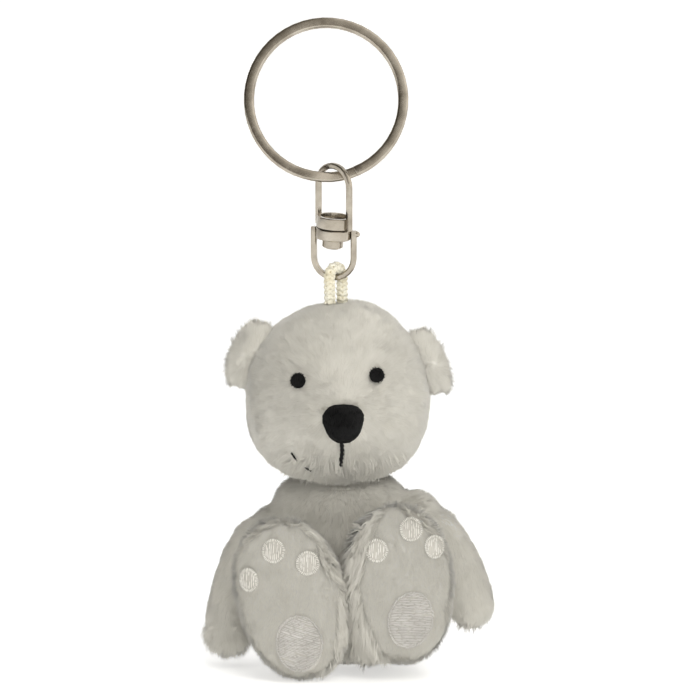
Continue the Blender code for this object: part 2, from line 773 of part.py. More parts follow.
def ear_half(side, facing):
    """Half a lens: flat on the seam plane and domed towards the front or the back."""
    sides = 16
    bands = 3
    rows = []
    for band in range(bands + 1):
        share = 1.0 if band == bands else math.sin(math.pi / 2 * (band + 1) / (bands + 1))
        bulge = math.sqrt(max(1 - share * share, 0.0))
        depth = facing * (SEAM_GAP / 2 + 0.25 + (EAR_HALF_THICKNESS - 0.4) * bulge)
        rows.append([Vector((x, depth, z)) for x, z in ear_outline(side, share, sides)])
    flat = [Vector((x, facing * SEAM_GAP / 2, z)) for x, z in ear_outline(side, 1.0, sides)]
    rows.append(flat)
    top = Vector((0, facing * EAR_HALF_THICKNESS, 0))
    return skin(rows, start=top, end="flat")


def ear_outline(side, share, sides):
    sign = SIDES[side]
    points = []
    for i in range(sides):
        turn = math.tau * i / sides
        reach = EAR_OUTWARD[side] if math.cos(turn) > 0 else EAR_INWARD
        x = sign * reach * math.cos(turn) * share
        points.append((x, EAR_HALF_LENGTH * math.sin(turn) * share))
    return points


# --- torso ------------------------------------------------------------------------------------

def torso_ring(row, turns, inset, shift):
    """Level outline of the torso; near the base the inner faces are raised instead of narrowed."""
    height, half_width, half_depth, middle = row
    raised = height + inset * max(1 - height / TORSO_BASE_ROUND, 0.0)
    half_depth = max(half_depth - inset, 0.0)
    ring = []
    for turn in turns:
        x, y = superellipse(half_width - inset, half_depth, TORSO_ROUNDNESS, turn)
        ring.append(Vector((x, y + middle + shift, raised)))
    return ring


def build_torso_panel(name, facing, plush, pivot):
    """Front or back cloth, from the straight seam across the base to the neck opening."""
    shift = facing * TORSO_SEAM_GAP / 2
    turns = [facing * math.pi * i / TORSO_COLUMNS for i in range(TORSO_COLUMNS + 1)]
    rows = []
    for row in TORSO_ROWS:
        outer = torso_ring(row, turns, 0.0, shift)
        inner = torso_ring(row, turns[::-1], FABRIC, shift)
        rows.append(outer + inner)
    add_object(name, skin(rows, start="flat", end="flat"), plush, pivot)


def build_torso_stuffing(fibre, pivot):
    turns = [math.tau * i / (2 * TORSO_COLUMNS) for i in range(2 * TORSO_COLUMNS)]
    rows = [torso_ring(row, turns, STUFFING_INSET, 0.0) for row in TORSO_ROWS[1:]]
    add_object("torso_stuffing", skin(rows, start="flat", end="flat"), fibre, pivot)


def build_neck_thread(thread, pivot):
    """Ring of strong thread that draws the neck together."""
    turns = [math.tau * i / 24 for i in range(24)]
    rows = []
    for turn in turns:
        out = Vector((math.cos(turn), math.sin(turn), 0))
        centre = NECK_CENTRE + out * NECK_THREAD_RADIUS
        section = round_section(NECK_THREAD, 6)
        rows.append([centre + out * a + Vector((0, 0, b)) for a, b in section])
    add_object("neck_thread", skin(rows, loop=True), thread, pivot)


# --- arms -------------------------------------------------------------------------------------

def arm_frame(side):
    spread = turned("Y", -ARM_SPREAD[side] * SIDES[side])
    length = Matrix.Diagonal((1.0, 1.0, ARM_LENGTH[side], 1.0))
    return Matrix.Translation(SHOULDERS[side]) @ turned("X", ARM_SWING[side]) @ spread @ length


def arm_hinge(side):
    """The arm lifts about the upper part of its shoulder seam."""
    return Vector(SHOULDERS[side]) + Vector((0, 0, ARM_HINGE_RISE))


def arm_rings(sign, inset):
    """Rings square to the arm's bent centreline, in the shoulder's frame."""
    centres = [Vector((out * sign, -forward, -down)) for out, down, forward, _ in ARM_ROWS]
    rings = []
    for i, centre in enumerate(centres):
        along = (centres[min(i + 1, len(centres) - 1)] - centres[max(i - 1, 0)]).normalized()
        front = (Vector((0, -1, 0)) + along * along.y).normalized()
        across = along.cross(front)
        radius = ARM_ROWS[i][3] - inset
        section = round_section(radius, ARM_SIDES)
        rings.append([centre + across * a + front * b * ARM_FLATTEN for a, b in section])
    end = (centres[-1] - centres[-2]).normalized()
    tip = centres[-1] + end * (ARM_TIP - inset)
    reach = end * (ARM_TIP - inset)
    back = end * 0.22 * (ARM_ROWS[-1][3] - inset)
    rings.append([tip.lerp(point + reach, 0.72) - back for point in rings[-1]])
    return rings, tip


def build_arm(side, plush, fibre, pivot):
    sign = SIDES[side]
    frame = arm_frame(side)
    outer, outer_tip = arm_rings(sign, 0.0)
    inner, inner_tip = arm_rings(sign, FABRIC)
    sleeve = skin(outer[::-1] + inner, start=outer_tip, end=inner_tip)
    add_object(f"arm_cover_{side}", sleeve, plush, pivot, frame=frame)
    core, core_tip = arm_rings(sign, STUFFING_INSET)
    filling = skin(core, start="flat", end=core_tip)
    add_object(f"arm_stuffing_{side}", filling, fibre, pivot, frame=frame)


# --- legs -------------------------------------------------------------------------------------

def hip_place(side):
    x, heel = HIPS[side]
    return Vector((x, HIP_Y, heel + LEG_ROWS[2][2]))


def leg_frame(side):
    """Frame at the hip: -Y runs to the sole; roll and yaw set how the foot lies at rest."""
    return (
        Matrix.Translation(hip_place(side))
        @ turned("Z", LEG_YAW[side])
        @ turned("Y", LEG_ROLL[side])
        @ Matrix.Scale(LEG_SCALE[side], 4)
    )


def leg_ring(row, inset):
    """Outline of the leg at a distance in front of the hip; the underside stays level.

    Near the rounded hip end the inner faces are moved forward instead of narrowed.
    """
    forward, half_width, half_height = row
    middle = half_height - HIP_HEIGHT
    shifted = forward + inset * max(1 - forward / LEG_HIP_ROUND, 0.0)
    return leg_outline(shifted, half_width - inset, half_height - inset, middle)


def leg_outline(forward, half_width, half_height, middle):
    ring = []
    for i in range(LEG_SIDES):
        x, z = superellipse(half_width, half_height, LEG_ROUNDNESS, math.tau * i / LEG_SIDES)
        ring.append(Vector((x, -forward, z + middle)))
    return ring


def sole_rings(inset):
    """Rings of the sole about one middle, narrowed at the rim and set back at the centre."""
    rings = []
    for i, (forward, half_width, half_height) in enumerate(SOLE_ROWS):
        share = min(i * 0.6, 1.0)
        narrowed = inset * (1 - share)
        ring = leg_outline(
            forward - inset * share, half_width - narrowed, half_height - narrowed, SOLE_MIDDLE
        )
        rings.append(ring)
    return rings, Vector((0, -SOLE_POLE + inset, SOLE_MIDDLE))


def build_leg(side, plush, velboa, fibre, pivot):
    frame = leg_frame(side)
    outer = [leg_ring(row, 0.0) for row in LEG_ROWS]
    inner = [leg_ring(row, FABRIC) for row in LEG_ROWS]
    back = Vector((0, -LEG_BACK, LEG_ROWS[0][2] - HIP_HEIGHT))
    inner_back = back - Vector((0, FABRIC, 0))
    cover = skin(outer + inner[::-1], start=back, end=inner_back)
    add_object(f"leg_cover_{side}", cover, plush, pivot, frame=frame)
    outer, outer_pole = sole_rings(0.0)
    inner, inner_pole = sole_rings(FABRIC)
    sole = skin(outer[::-1] + inner, start=outer_pole, end=inner_pole)
    add_object(f"sole_{side}", sole, velboa, pivot, frame=frame)
    rows = [leg_ring(row, STUFFING_INSET) for row in LEG_ROWS[1:]]
    front, _ = sole_rings(STUFFING_INSET)
    filling = skin(rows + front[1:2], start="flat", end="flat")
    add_object(f"leg_stuffing_{side}", filling, fibre, pivot, frame=frame)


def sole_surface():
    """Search tree of the sole's outer face, in the leg's own frame."""
    rows, pole = sole_rings(0.0)
    bm = skin(rows, end=pole)
    tree = BVHTree.FromBMesh(bm)
    bm.free()
    return tree


def pad_outline(half_width, half_height, lean, turn):
    """Leaning ellipse; a positive lean tips its top towards +X."""
    x, z = superellipse(half_width, half_height, 2.0, turn)
    tip = math.radians(lean)
    return x * math.cos(tip) + z * math.sin(tip), z * math.cos(tip) - x * math.sin(tip)


def build_pads(side, thread, pivot):
    """Embroidered pads: three toes and a heel on each sole."""
    tree = sole_surface()
    frame = leg_frame(side)
    for name, (across, up) in PAD_PLACES[side].items():
        place = (across, SOLE_MIDDLE + up)
        if name == "heel_pad":
            outline = partial(pad_outline, *HEEL_PAD_RADII, HEEL_PAD_LEAN[side])
            pad = patch(tree, place, outline, PAD_DOME, sides=16, bands=5)
        else:
            radii = OUTER_TOE_PAD_RADII if name == "toe_pad_outer" else TOE_PAD_RADII
            pad = patch(tree, place, partial(pad_outline, *radii, 0.0), PAD_DOME, sides=16, bands=2)
        add_object(f"{name}_{side}", pad, thread, pivot, frame=frame)


# --- assembly ---------------------------------------------------------------------------------

def build_hardware(nickel):
    build_split_ring(nickel)
    upper_pivot = add_pivot("ring_swing_pivot", ring_bottom())
    build_bail(
        "swivel_upper_bail", UPPER_BAIL_REACH, 1, UPPER_BAIL_YAW, upper_collar(), nickel, upper_pivot
    )
    build_rivet(nickel, upper_pivot)
    spin_pivot = add_pivot("swivel_spin_pivot", SWIVEL_CENTRE, upper_pivot)
    lower = build_bail(
        "swivel_lower_bail", LOWER_BAIL_REACH, -1, LOWER_BAIL_YAW, lower_collar(), nickel, spin_pivot
    )
    build_wire_end(lower, spin_pivot)
    return spin_pivot


def neck_hole_cutter(pivot):
    profile = [(0, 2.0), (NECK_HOLE, 2.0), (NECK_HOLE, -4.0), (0, -4.0)]
    cylinder = lathe(profile, 24)
    cylinder.transform(Matrix.Translation(NECK_CENTRE))
    return add_cutter("neck_hole", cylinder, pivot)


def build_head(plush, fibre, black, cord, pivot):
    neck_cutter = neck_hole_cutter(pivot)
    build_head_gusset(plush, pivot, neck_cutter)
    for side in SIDES:
        build_head_side(side, plush, pivot, neck_cutter)
        ear_pivot = add_pivot(f"ear_pivot_{side}", ear_hinge(side), pivot)
        build_ear(side, plush, ear_pivot)
    build_head_stuffing(fibre, pivot)
    build_cord_knot(cord, pivot)
    build_face(black, pivot)


def build_body(plush, velboa, fibre, thread, pivot):
    build_torso_panel("torso_front", -1, plush, pivot)
    build_torso_panel("torso_back", 1, plush, pivot)
    build_torso_stuffing(fibre, pivot)
    for side in SIDES:
        shoulder = add_pivot(f"shoulder_pivot_{side}", arm_hinge(side), pivot)
        build_arm(side, plush, fibre, shoulder)
        hip = add_pivot(f"hip_pivot_{side}", hip_place(side), pivot)
        build_leg(side, plush, velboa, fibre, hip)
        build_pads(side, thread, hip)


def main():
    clear_scene()
    nickel = make_material("worn_nickel", NICKEL, 0.32, 1.0)
    plush = make_material("white_plush", PLUSH_WHITE, 0.95)
    velboa = make_material("short_pile", SOLE_WHITE, 0.9)
    fibre = make_material("polyester_fibre", FIBRE_WHITE, 1.0)
    thread = make_material("white_embroidery", THREAD_WHITE, 0.55)
    black = make_material("black_embroidery", THREAD_BLACK, 0.7)
    cord = make_material("braided_cord", CORD_WHITE, 0.7)

    spin_pivot = build_hardware(nickel)
    bail_pivot = add_pivot("bail_hinge_pivot", bail_bottom(), spin_pivot)
    build_cord_loop(cord, bail_pivot)
    crown_pivot = add_pivot("cord_flex_pivot", CORD_BASE, bail_pivot)
    build_head(plush, fibre, black, cord, crown_pivot)
    neck_pivot = add_pivot("neck_pivot", NECK_CENTRE, crown_pivot)
    build_neck_thread(thread, neck_pivot)
    build_body(plush, velboa, fibre, thread, neck_pivot)


main()
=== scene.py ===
"""Looks of the plush bear key ring: simulated cloth skins, real pile, stitched thread, braided cord
and worn nickel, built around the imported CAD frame.

Units are metres inside Blender; every length named here is in millimetres and is turned into
metres by MM. The bear faces -Y and its own left side is +X.
"""

import math

import bmesh
import bpy
import numpy as np
from mathutils import Matrix, Vector
from mathutils.bvhtree import BVHTree


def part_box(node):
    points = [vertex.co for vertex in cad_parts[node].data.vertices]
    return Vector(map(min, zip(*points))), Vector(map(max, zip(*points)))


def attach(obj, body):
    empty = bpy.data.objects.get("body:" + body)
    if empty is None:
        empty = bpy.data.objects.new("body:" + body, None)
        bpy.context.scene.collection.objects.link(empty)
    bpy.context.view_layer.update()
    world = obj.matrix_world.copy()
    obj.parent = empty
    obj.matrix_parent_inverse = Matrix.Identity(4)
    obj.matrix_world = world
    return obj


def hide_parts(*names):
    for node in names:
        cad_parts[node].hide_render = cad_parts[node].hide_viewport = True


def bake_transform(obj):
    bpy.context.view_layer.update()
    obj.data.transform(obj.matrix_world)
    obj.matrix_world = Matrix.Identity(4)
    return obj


MM = 0.001
SIDES = {"left": 1, "right": -1}
TOE_PADS = ("toe_pad_inner", "toe_pad_middle", "toe_pad_outer")

# --- cloth skins ---
SKIN_VOXEL = 0.75
EAR_VOXEL = 0.45
SIM_SCALE = 20.0            # cloth is simulated at this many times its real size
SIM_SETTINGS = {
    "quality": 4, "mass": 0.2, "tension_stiffness": 12, "compression_stiffness": 12,
    "bending_stiffness": 0.4, "use_pressure": True, "uniform_pressure_force": 4.0,
}
SIM_FRAMES = 20
SIM_CAP = 0.45              # the furthest a point may move
SEAM_REACH = 0.85           # a point this close to two pieces of cloth lies on their seam

# stuffing that rounds off where sewn parts meet: middle, radii and lean towards +X
BODY_LUMPS = (
    ((12.0, 0.8, 24.2), (5.2, 5.8, 5.5), 0.0),
    ((-10.0, 0.8, 21.6), (7.0, 6.2, 6.5), 0.0),
    ((-0.7, 1.0, 27.6), (11.6, 8.4, 6.4), 0.0),
)
PLUSH_WRAP = {"left": 1.9, "right": 0.4}      # how far the plush wraps the inner rim of the foot
INNER_FRINGE = {"left": 3.0, "right": 2.0}
SHOULDER_TUCK = 0.2         # the left shoulder is squeezed in by this much
CROWN_DIMPLE = 0.8          # the crown sinks this much round the cord
CROWN_LUMP = ((-0.3, 0.7, 55.6), (10.6, 9.6, 6.9), 0.0)
# the head's pile is in four pieces, by where the cloth faces: forwards or not, and between which
# z of its normal; then strands on each square millimetre
FACE_SLOPE = -0.35          # cloth whose normal has a smaller y faces forwards
HEAD_REGIONS = (
    ("face", True, -0.35, 1.1, 54),
    ("crown", False, 0.1, 1.1, 54),
    ("nape", False, -1.1, 0.1, 42),
    ("chin", True, -1.1, -0.35, 54),
)
EAR_LUMPS = {
    "left": ((13.6, 0.3, 51.6), (3.2, 2.6, 5.6), -22.0),
    "right": ((-15.6, 0.2, 52.8), (3.4, 2.8, 5.8), 22.0),
}
LEG_LUMPS = {
    "left": ((4.6, -14.5, 13.0), (4.9, 4.6, 11.2), 0.0),
    "right": ((-5.3, -14.5, 12.0), (4.1, 4.4, 11.0), 0.0),
}

# --- pile ---
PILE_INSET = 0.65           # the backing lies this far inside the toy's outline
SOLE_INSET = 0.05
EAR_INSET = 0.3
STRAND_WIDTH = 0.13
TONES = ((0.80, 0.775, 0.70), (0.765, 0.74, 0.66), (0.72, 0.69, 0.61))
SOLE_TONES = ((0.655, 0.635, 0.57), (0.625, 0.605, 0.54), (0.59, 0.565, 0.50))

# strands on each square millimetre of backing cloth
PILE_DENSITY = {
    "ear": 50, "body": 40, "leg": 38, "sole": 75,
    "chin_tufts": 17, "ear_tufts": 9, "hand_tufts": 12, "fringe": 22, "overhang": 26,
}

# --- thread ---
# radii
TOE_THREAD = 0.085
HEEL_THREAD = 0.09
BLACK_THREAD = 0.11
MOUTH_THREAD = 0.23
STITCH_LIFT = 0.10          # twice the height of a stitch's ends over the CAD piece
HEEL_PATCH_LEAN = {"left": 12, "right": 0}      # degrees
HEEL_STITCH_TURN = {"left": 78, "right": 108}
# what shows of the smile: ends of each dash, across and up from the middle of the nose,
# and how far it stands in front of the backing cloth
SMILE_DASHES = (((-8.8, -5.6), (-7.8, -7.1), 0.95), ((-6.6, -8.1), (-5.4, -8.9), 1.7))
MOUTH_STEPS = 40
SMILE_STEPS = 8
CORD_STRAND = 0.33          # radius of one strand of the braid
CORD_CORE = 0.62

# --- hardware ---
SHARP_EDGE = 0.7            # an edge that turns by more than this angle is worn
# body of each metal piece and how far its edges are worn round
WORN_EDGES = {
    "split_ring": ("ring", 0.5),
    "swivel_upper_bail": ("upper_bail", 0.16),
    "swivel_lower_bail": ("lower_bail", 0.16),
}

# --- view ---
VIEW_TARGET = Vector((0.86, 0.0, 53.8)) * MM
VIEW_ELEVATION = 5.0
VIEW_DISTANCE = 500.0 * MM
VIEW_WIDTH = 120.26 * MM    # width of the picture at the target


# --- cloth and thread looks ---
# light and dark colour of the blotches, size of the grain, height of the relief, and where they
# aren't those of plush, roughness and sheen
CLOTHS = {
    "plush_backing": ((0.74, 0.72, 0.66), (0.66, 0.64, 0.58), 0.25, 0.15),
    "velboa": ((0.64, 0.625, 0.59), (0.58, 0.565, 0.53), 0.15, 0.1),
    "pad_cloth": ((0.54, 0.52, 0.47), (0.46, 0.44, 0.40), 0.2, 0.1),
    "white_thread": ((0.86, 0.84, 0.79), (0.76, 0.74, 0.68), 0.12, 0.05, 0.42),
    "heel_thread": ((0.68, 0.66, 0.63), (0.58, 0.56, 0.53), 0.12, 0.05, 0.42),
    "black_thread": ((0.012, 0.012, 0.012), (0.006, 0.006, 0.006), 0.1, 0.05, 0.6, 0.0),
    "black_cloth": ((0.008, 0.008, 0.008), (0.004, 0.004, 0.004), 0.2, 0.1, 0.8, 0.0),
    "cord": ((0.90, 0.87, 0.74), (0.80, 0.74, 0.56), 0.1, 0.05, 0.6),
    "cord_core": ((0.70, 0.62, 0.44), (0.60, 0.52, 0.36), 0.2, 0.05, 0.8),
    "fibrefill": ((0.90, 0.90, 0.89), (0.78, 0.78, 0.77), 0.4, 0.3),
}


# --- small helpers ---

def vec(x, y, z):
    return np.array((x, y, z), float)


def unit(vectors):
    return vectors / np.maximum(np.linalg.norm(vectors, axis=-1, keepdims=True), 1e-9)


def noise_vectors(points, size, seed):
    """Smooth random vectors that change over a length of about size millimetres."""
    lattice = np.random.default_rng(seed).normal(size=(24, 24, 24, 3))
    scaled = points / (size * MM) + 100.0
    cell = np.floor(scaled).astype(int)
    part = scaled - cell
    part = part * part * (3 - 2 * part)
    total = np.zeros_like(points)
    for corner in np.ndindex(2, 2, 2):
        offset = np.array(corner)
        weight = np.prod(np.where(offset == 1, part, 1 - part), axis=1)
        index = (cell + offset) % 24
        total += weight[:, None] * lattice[index[:, 0], index[:, 1], index[:, 2]]
    return total


def smoothstep(low, high, value):
    share = np.clip((value - low) / (high - low), 0, 1)
    return share * share * (3 - 2 * share)


def mesh_arrays(mesh):
    """Vertices, triangles and vertex normals of a mesh as arrays."""
    verts = np.zeros((len(mesh.vertices), 3), np.float32)
    mesh.vertices.foreach_get("co", verts.ravel())
    normals = np.zeros((len(mesh.vertices), 3), np.float32)
    mesh.vertices.foreach_get("normal", normals.ravel())
    mesh.calc_loop_triangles()
    tris = np.zeros((len(mesh.loop_triangles), 3), np.int32)
    mesh.loop_triangles.foreach_get("vertices", tris.ravel())
    return verts.astype(float), tris, normals.astype(float)


def set_vertices(mesh, verts):
    mesh.vertices.foreach_set("co", verts.astype(np.float32).ravel())
    mesh.update()


def mesh_from(bm, name):
    """The mesh of a bmesh, which is then freed."""
    mesh = bpy.data.meshes.new(name)
    bm.to_mesh(mesh)
    bm.free()
    return mesh


def add_object(name, data):
    obj = bpy.data.objects.new(name, data)
    bpy.context.scene.collection.objects.link(obj)
    return obj


def make_piece(name, mesh, body, slot, *materials, replaced=()):
    """A piece that rides on a body, instead of the replaced CAD nodes; slot is not used.
    With body None it is left for blend_arm.
    """
    obj = add_object(name, mesh)
    for material in materials:
        mesh.materials.append(material)
    if body is not None:
        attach(obj, body)
    if replaced:
        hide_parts(*replaced)
    return obj


# --- materials ---

def set_inputs(node, values):
    for name, value in values.items():
        node.inputs[name].default_value = value


def new_material(name):
    material = bpy.data.materials.new(name)
    material.use_nodes = True
    return material, material.node_tree.nodes, material.node_tree.links


def plain_material(name, colour, roughness, sheen=0.0):
    """One strand's material: the variety of the pile comes from several of these."""
    material, nodes, _ = new_material(name)
    set_inputs(nodes["Principled BSDF"], {
        "Base Color": (*colour, 1), "Roughness": roughness, "Specular IOR Level": 0.15,
        "Sheen Weight": sheen, "Sheen Roughness": 0.5,
    })
    return material


def noise_node(nodes, links, size, detail=4.0):
    """Object-space noise whose spots are about size millimetres across."""
    place = nodes.new("ShaderNodeTexCoord")
    noise = nodes.new("ShaderNodeTexNoise")
    set_inputs(noise, {"Scale": 1.0 / (size * MM), "Detail": detail})
    links.new(place.outputs["Object"], noise.inputs["Vector"])
    return noise


def ramp_node(nodes, links, source, stops):
    ramp = nodes.new("ShaderNodeValToRGB")
    ramp.color_ramp.elements[0].position = stops[0][0]
    ramp.color_ramp.elements[0].color = (*stops[0][1], 1)
    ramp.color_ramp.elements[1].position = stops[1][0]
    ramp.color_ramp.elements[1].color = (*stops[1][1], 1)
    for position, colour in stops[2:]:
        ramp.color_ramp.elements.new(position).color = (*colour, 1)
    links.new(source, ramp.inputs["Fac"])
    return ramp


def bump_node(nodes, links, source, distance, strength):
    bump = nodes.new("ShaderNodeBump")
    set_inputs(bump, {"Distance": distance * MM, "Strength": strength})
    links.new(source, bump.inputs["Height"])
    return bump


def cloth_material(name, light, dark, grain, bump, roughness=0.95, sheen=0.3):
    """Cloth with soft blotches, a fine grain and a little sheen."""
    material, nodes, links = new_material(name)
    shader = nodes["Principled BSDF"]
    set_inputs(shader, {"Roughness": roughness, "Specular IOR Level": 0.1, "Sheen Weight": sheen})
    blotch = noise_node(nodes, links, 3.0)
    ramp = ramp_node(nodes, links, blotch.outputs["Fac"], ((0.35, dark), (0.65, light)))
    links.new(ramp.outputs["Color"], shader.inputs["Base Color"])
    fine = noise_node(nodes, links, grain, 8.0)
    relief = bump_node(nodes, links, fine.outputs["Fac"], bump, 0.8)
    links.new(relief.outputs["Normal"], shader.inputs["Normal"])
    return material


def nickel_material(name="nickel"):
    """Nickel plate gone warm and dull, a little brighter where it rubs, with faint pits."""
    material, nodes, links = new_material(name)
    shader = nodes["Principled BSDF"]
    set_inputs(shader, {"Metallic": 1.0})
    wear = noise_node(nodes, links, 2.6, 5.0)
    tint = ramp_node(
        nodes, links, wear.outputs["Fac"],
        ((0.30, (0.31, 0.275, 0.225)), (0.72, (0.49, 0.45, 0.385)), (0.5, (0.40, 0.36, 0.30))),
    )
    links.new(tint.outputs["Color"], shader.inputs["Base Color"])
    gloss = noise_node(nodes, links, 0.7, 6.0)
    rough = ramp_node(
        nodes, links, gloss.outputs["Fac"], ((0.3, (0.12, 0.12, 0.12)), (0.7, (0.26, 0.26, 0.26)))
    )
    links.new(rough.outputs["Color"], shader.inputs["Roughness"])
    pits = noise_node(nodes, links, 0.4, 4.0)
    relief = bump_node(nodes, links, pits.outputs["Fac"], 0.012, 0.35)
    links.new(relief.outputs["Normal"], shader.inputs["Normal"])
    return material


# --- skins ---

def node_tree(*names):
    """Search tree over the surfaces of CAD nodes."""
    verts = []
    polygons = []
    for name in names:
        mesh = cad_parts[name].data
        base = len(verts)
        verts.extend(vertex.co.copy() for vertex in mesh.vertices)
        polygons.extend([base + i for i in polygon.vertices] for polygon in mesh.polygons)
    return BVHTree.FromPolygons(verts, polygons)


def wrap_around(name, nodes, centre):
    """Closed surface seen from outside towards a point inside the nodes."""
    tree = node_tree(*nodes)
    bm = bmesh.new()
    bmesh.ops.create_icosphere(bm, subdivisions=6, radius=1.0)
    for vertex in bm.verts:
        direction = vertex.co.normalized()
        hit = tree.ray_cast(centre + direction * 100 * MM, -direction)[0]
        vertex.co = hit if hit is not None else centre
    return mesh_from(bm, name)


def modify(mesh, kind, **settings):
    """The mesh after one modifier."""
    obj = add_object("modified", mesh)
    modifier = obj.modifiers.new(kind, kind)
    for key, value in settings.items():
        setattr(modifier, key, value)
    graph = bpy.context.evaluated_depsgraph_get()
    result = bpy.data.meshes.new_from_object(obj.evaluated_get(graph))
    bpy.data.objects.remove(obj)
    return result


def seam_weights(mesh, nodes):
    """1 on the seams between the cloth nodes, falling to 0 beside them."""
    trees = [node_tree(node) for node in nodes]
    weights = []
    for vertex in mesh.vertices:
        distances = sorted(tree.find_nearest(vertex.co)[3] for tree in trees)
        second = distances[1] if len(distances) > 1 else 1.0
        weights.append(float(1 - smoothstep(0.5 * SEAM_REACH * MM, SEAM_REACH * MM, second)))
    return weights


def swell(mesh, seams):
    """Cloth simulation under pressure: the panels swell between their sewn seams."""
    verts, _, _ = mesh_arrays(mesh)
    obj = add_object("swelling", mesh.copy())
    set_vertices(obj.data, verts * SIM_SCALE)
    group = obj.vertex_groups.new(name="seams")
    for index, weight in enumerate(seams):
        group.add([index], weight, "REPLACE")
    cloth = obj.modifiers.new("cloth", "CLOTH")
    for key, value in SIM_SETTINGS.items():
        setattr(cloth.settings, key, value)
    cloth.settings.vertex_group_mass = "seams"
    cloth.settings.effector_weights.gravity = 0.0
    cloth.collision_settings.use_collision = False
    cloth.collision_settings.use_self_collision = False
    scene = bpy.context.scene
    for number in range(1, SIM_FRAMES + 1):
        scene.frame_set(number)
    graph = bpy.context.evaluated_depsgraph_get()
    result = bpy.data.meshes.new_from_object(obj.evaluated_get(graph))
    moved, _, _ = mesh_arrays(result)
    bpy.data.objects.remove(obj)
    scene.frame_set(1)
    step = moved / SIM_SCALE - verts
    length = np.linalg.norm(step, axis=1, keepdims=True)
    step *= np.minimum(1.0, SIM_CAP * MM / np.maximum(length, 1e-9))
    set_vertices(mesh, verts + step)


def lump(middle, radii, lean=0.0):
    """Ellipsoid of stuffing that rounds off where two sewn parts meet; lean tips it towards +X."""
    bm = bmesh.new()
    bmesh.ops.create_icosphere(bm, subdivisions=4, radius=1.0)
    tip = Matrix.Rotation(math.radians(lean), 3, "Y")
    for vertex in bm.verts:
        shape = Vector([r * c for r, c in zip(radii, vertex.co)])
        vertex.co = (Vector(middle) + tip @ shape) * MM
    return mesh_from(bm, "lump")


def join_meshes(name, meshes):
    bm = bmesh.new()
    for mesh in meshes:
        bm.from_mesh(mesh)
    return mesh_from(bm, name)


def box_middle(nodes):
    """Middle of the box round several CAD nodes."""
    boxes = [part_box(node) for node in nodes]
    low = Vector([min(box[0][i] for box in boxes) for i in range(3)])
    high = Vector([max(box[1][i] for box in boxes) for i in range(3)])
    return (low + high) / 2


def centre_of(*nodes):
    return np.array(box_middle(nodes))


def outline_of(name, cover_nodes, inner_nodes):
    """Closed outline of a sewn part; the stuffing fills what the cloth leaves open."""
    return wrap_around(name, cover_nodes + inner_nodes, box_middle(cover_nodes))


def build_skin(name, mesh, cover_nodes, voxel=SKIN_VOXEL, inset=PILE_INSET):
    """Backing cloth of one sewn part, inside the outline by the height of its pile."""
    mesh = modify(mesh, "REMESH", mode="VOXEL", voxel_size=voxel * MM)
    mesh = modify(mesh, "SMOOTH", factor=0.5, iterations=4)
    swell(mesh, seam_weights(mesh, cover_nodes))
    verts, _, normals = mesh_arrays(mesh)
    depth = inset(verts) if callable(inset) else inset
    set_vertices(mesh, verts - normals * np.reshape(depth, (-1, 1)) * MM)
    mesh = modify(mesh, "SUBSURF", levels=1)
    mesh.name = name
    mesh.shade_smooth()
    return mesh


# --- pile ---

def scatter(mesh, density, rng):
    """Random points over a mesh, density per square millimetre, with their normals."""
    verts, tris, normals = mesh_arrays(mesh)
    corners = verts[tris]
    edges = corners[:, 1:] - corners[:, :1]
    area = np.linalg.norm(np.cross(edges[:, 0], edges[:, 1]), axis=1) / 2
    count = int(density * area.sum() / MM ** 2)
    pick = rng.choice(len(tris), count, p=area / area.sum())
    a = np.sqrt(rng.random(count))
    b = rng.random(count)
    shares = np.stack([1 - a, a * (1 - b), a * b], axis=1)[:, :, None]
    return (corners[pick] * shares).sum(axis=1), unit((normals[tris[pick]] * shares).sum(axis=1))


def laid_flat(vectors, normals):
    """The part of each vector that lies in the cloth."""
    return vectors - (vectors * normals).sum(axis=1, keepdims=True) * normals


def comb(points, normals, flow, lift, seed, tuft, fine):
    """Strand directions: lying along the flow, raised by lift, in soft tufts."""
    stray = noise_vectors(points, 3.2, seed) * tuft + noise_vectors(points, 0.9, seed + 1) * fine
    tangent = unit(unit(laid_flat(flow, normals)) + laid_flat(stray, normals))
    lift = np.reshape(lift, (-1, 1))
    return unit(tangent * (1 - lift) + normals * lift)


def spike_points(roots, normals, directions, lengths, width, rng, droop):
    """Points of each strand: rings of three at the root and, with droop, half way, then the tip."""
    count = len(roots)
    side = unit(np.cross(directions, normals + rng.normal(size=(count, 3)) * 0.3))
    other = np.cross(directions, side)
    spin = rng.random(count) * math.tau
    lengths = lengths[:, None] * MM
    widths = np.reshape(width * (0.8 + 0.4 * rng.random(count)), (-1, 1)) * MM / 2
    rings = []
    middles = [roots - directions * 0.12 * MM]
    if droop is not None:
        middles.append(roots + directions * lengths * 0.5)
    for level, middle in enumerate(middles):
        share = 1.0 - 0.25 * level
        for k in range(3):
            angle = spin + math.tau * k / 3
            around = side * np.cos(angle)[:, None] + other * np.sin(angle)[:, None]
            rings.append(middle + around * widths * share)
    if droop is None:
        tip = roots + directions * lengths
    else:
        tip = middles[1] + unit(directions + droop) * lengths * 0.5
    rings.append(tip)
    points = np.stack(rings, axis=1)
    points[:, :, 2] = np.maximum(points[:, :, 2], 0.05 * MM)
    return points


def spike_faces(per):
    """Triangles of one strand that has this many points."""
    faces = [(0, 2, 1)]
    for base in range(0, per - 4, 3):
        for k in range(3):
            j = (k + 1) % 3
            faces += [(base + k, base + j, base + 3 + k), (base + j, base + 3 + j, base + 3 + k)]
    last = per - 4
    faces += [(last + k, last + (k + 1) % 3, per - 1) for k in range(3)]
    return np.array(faces, np.int32)


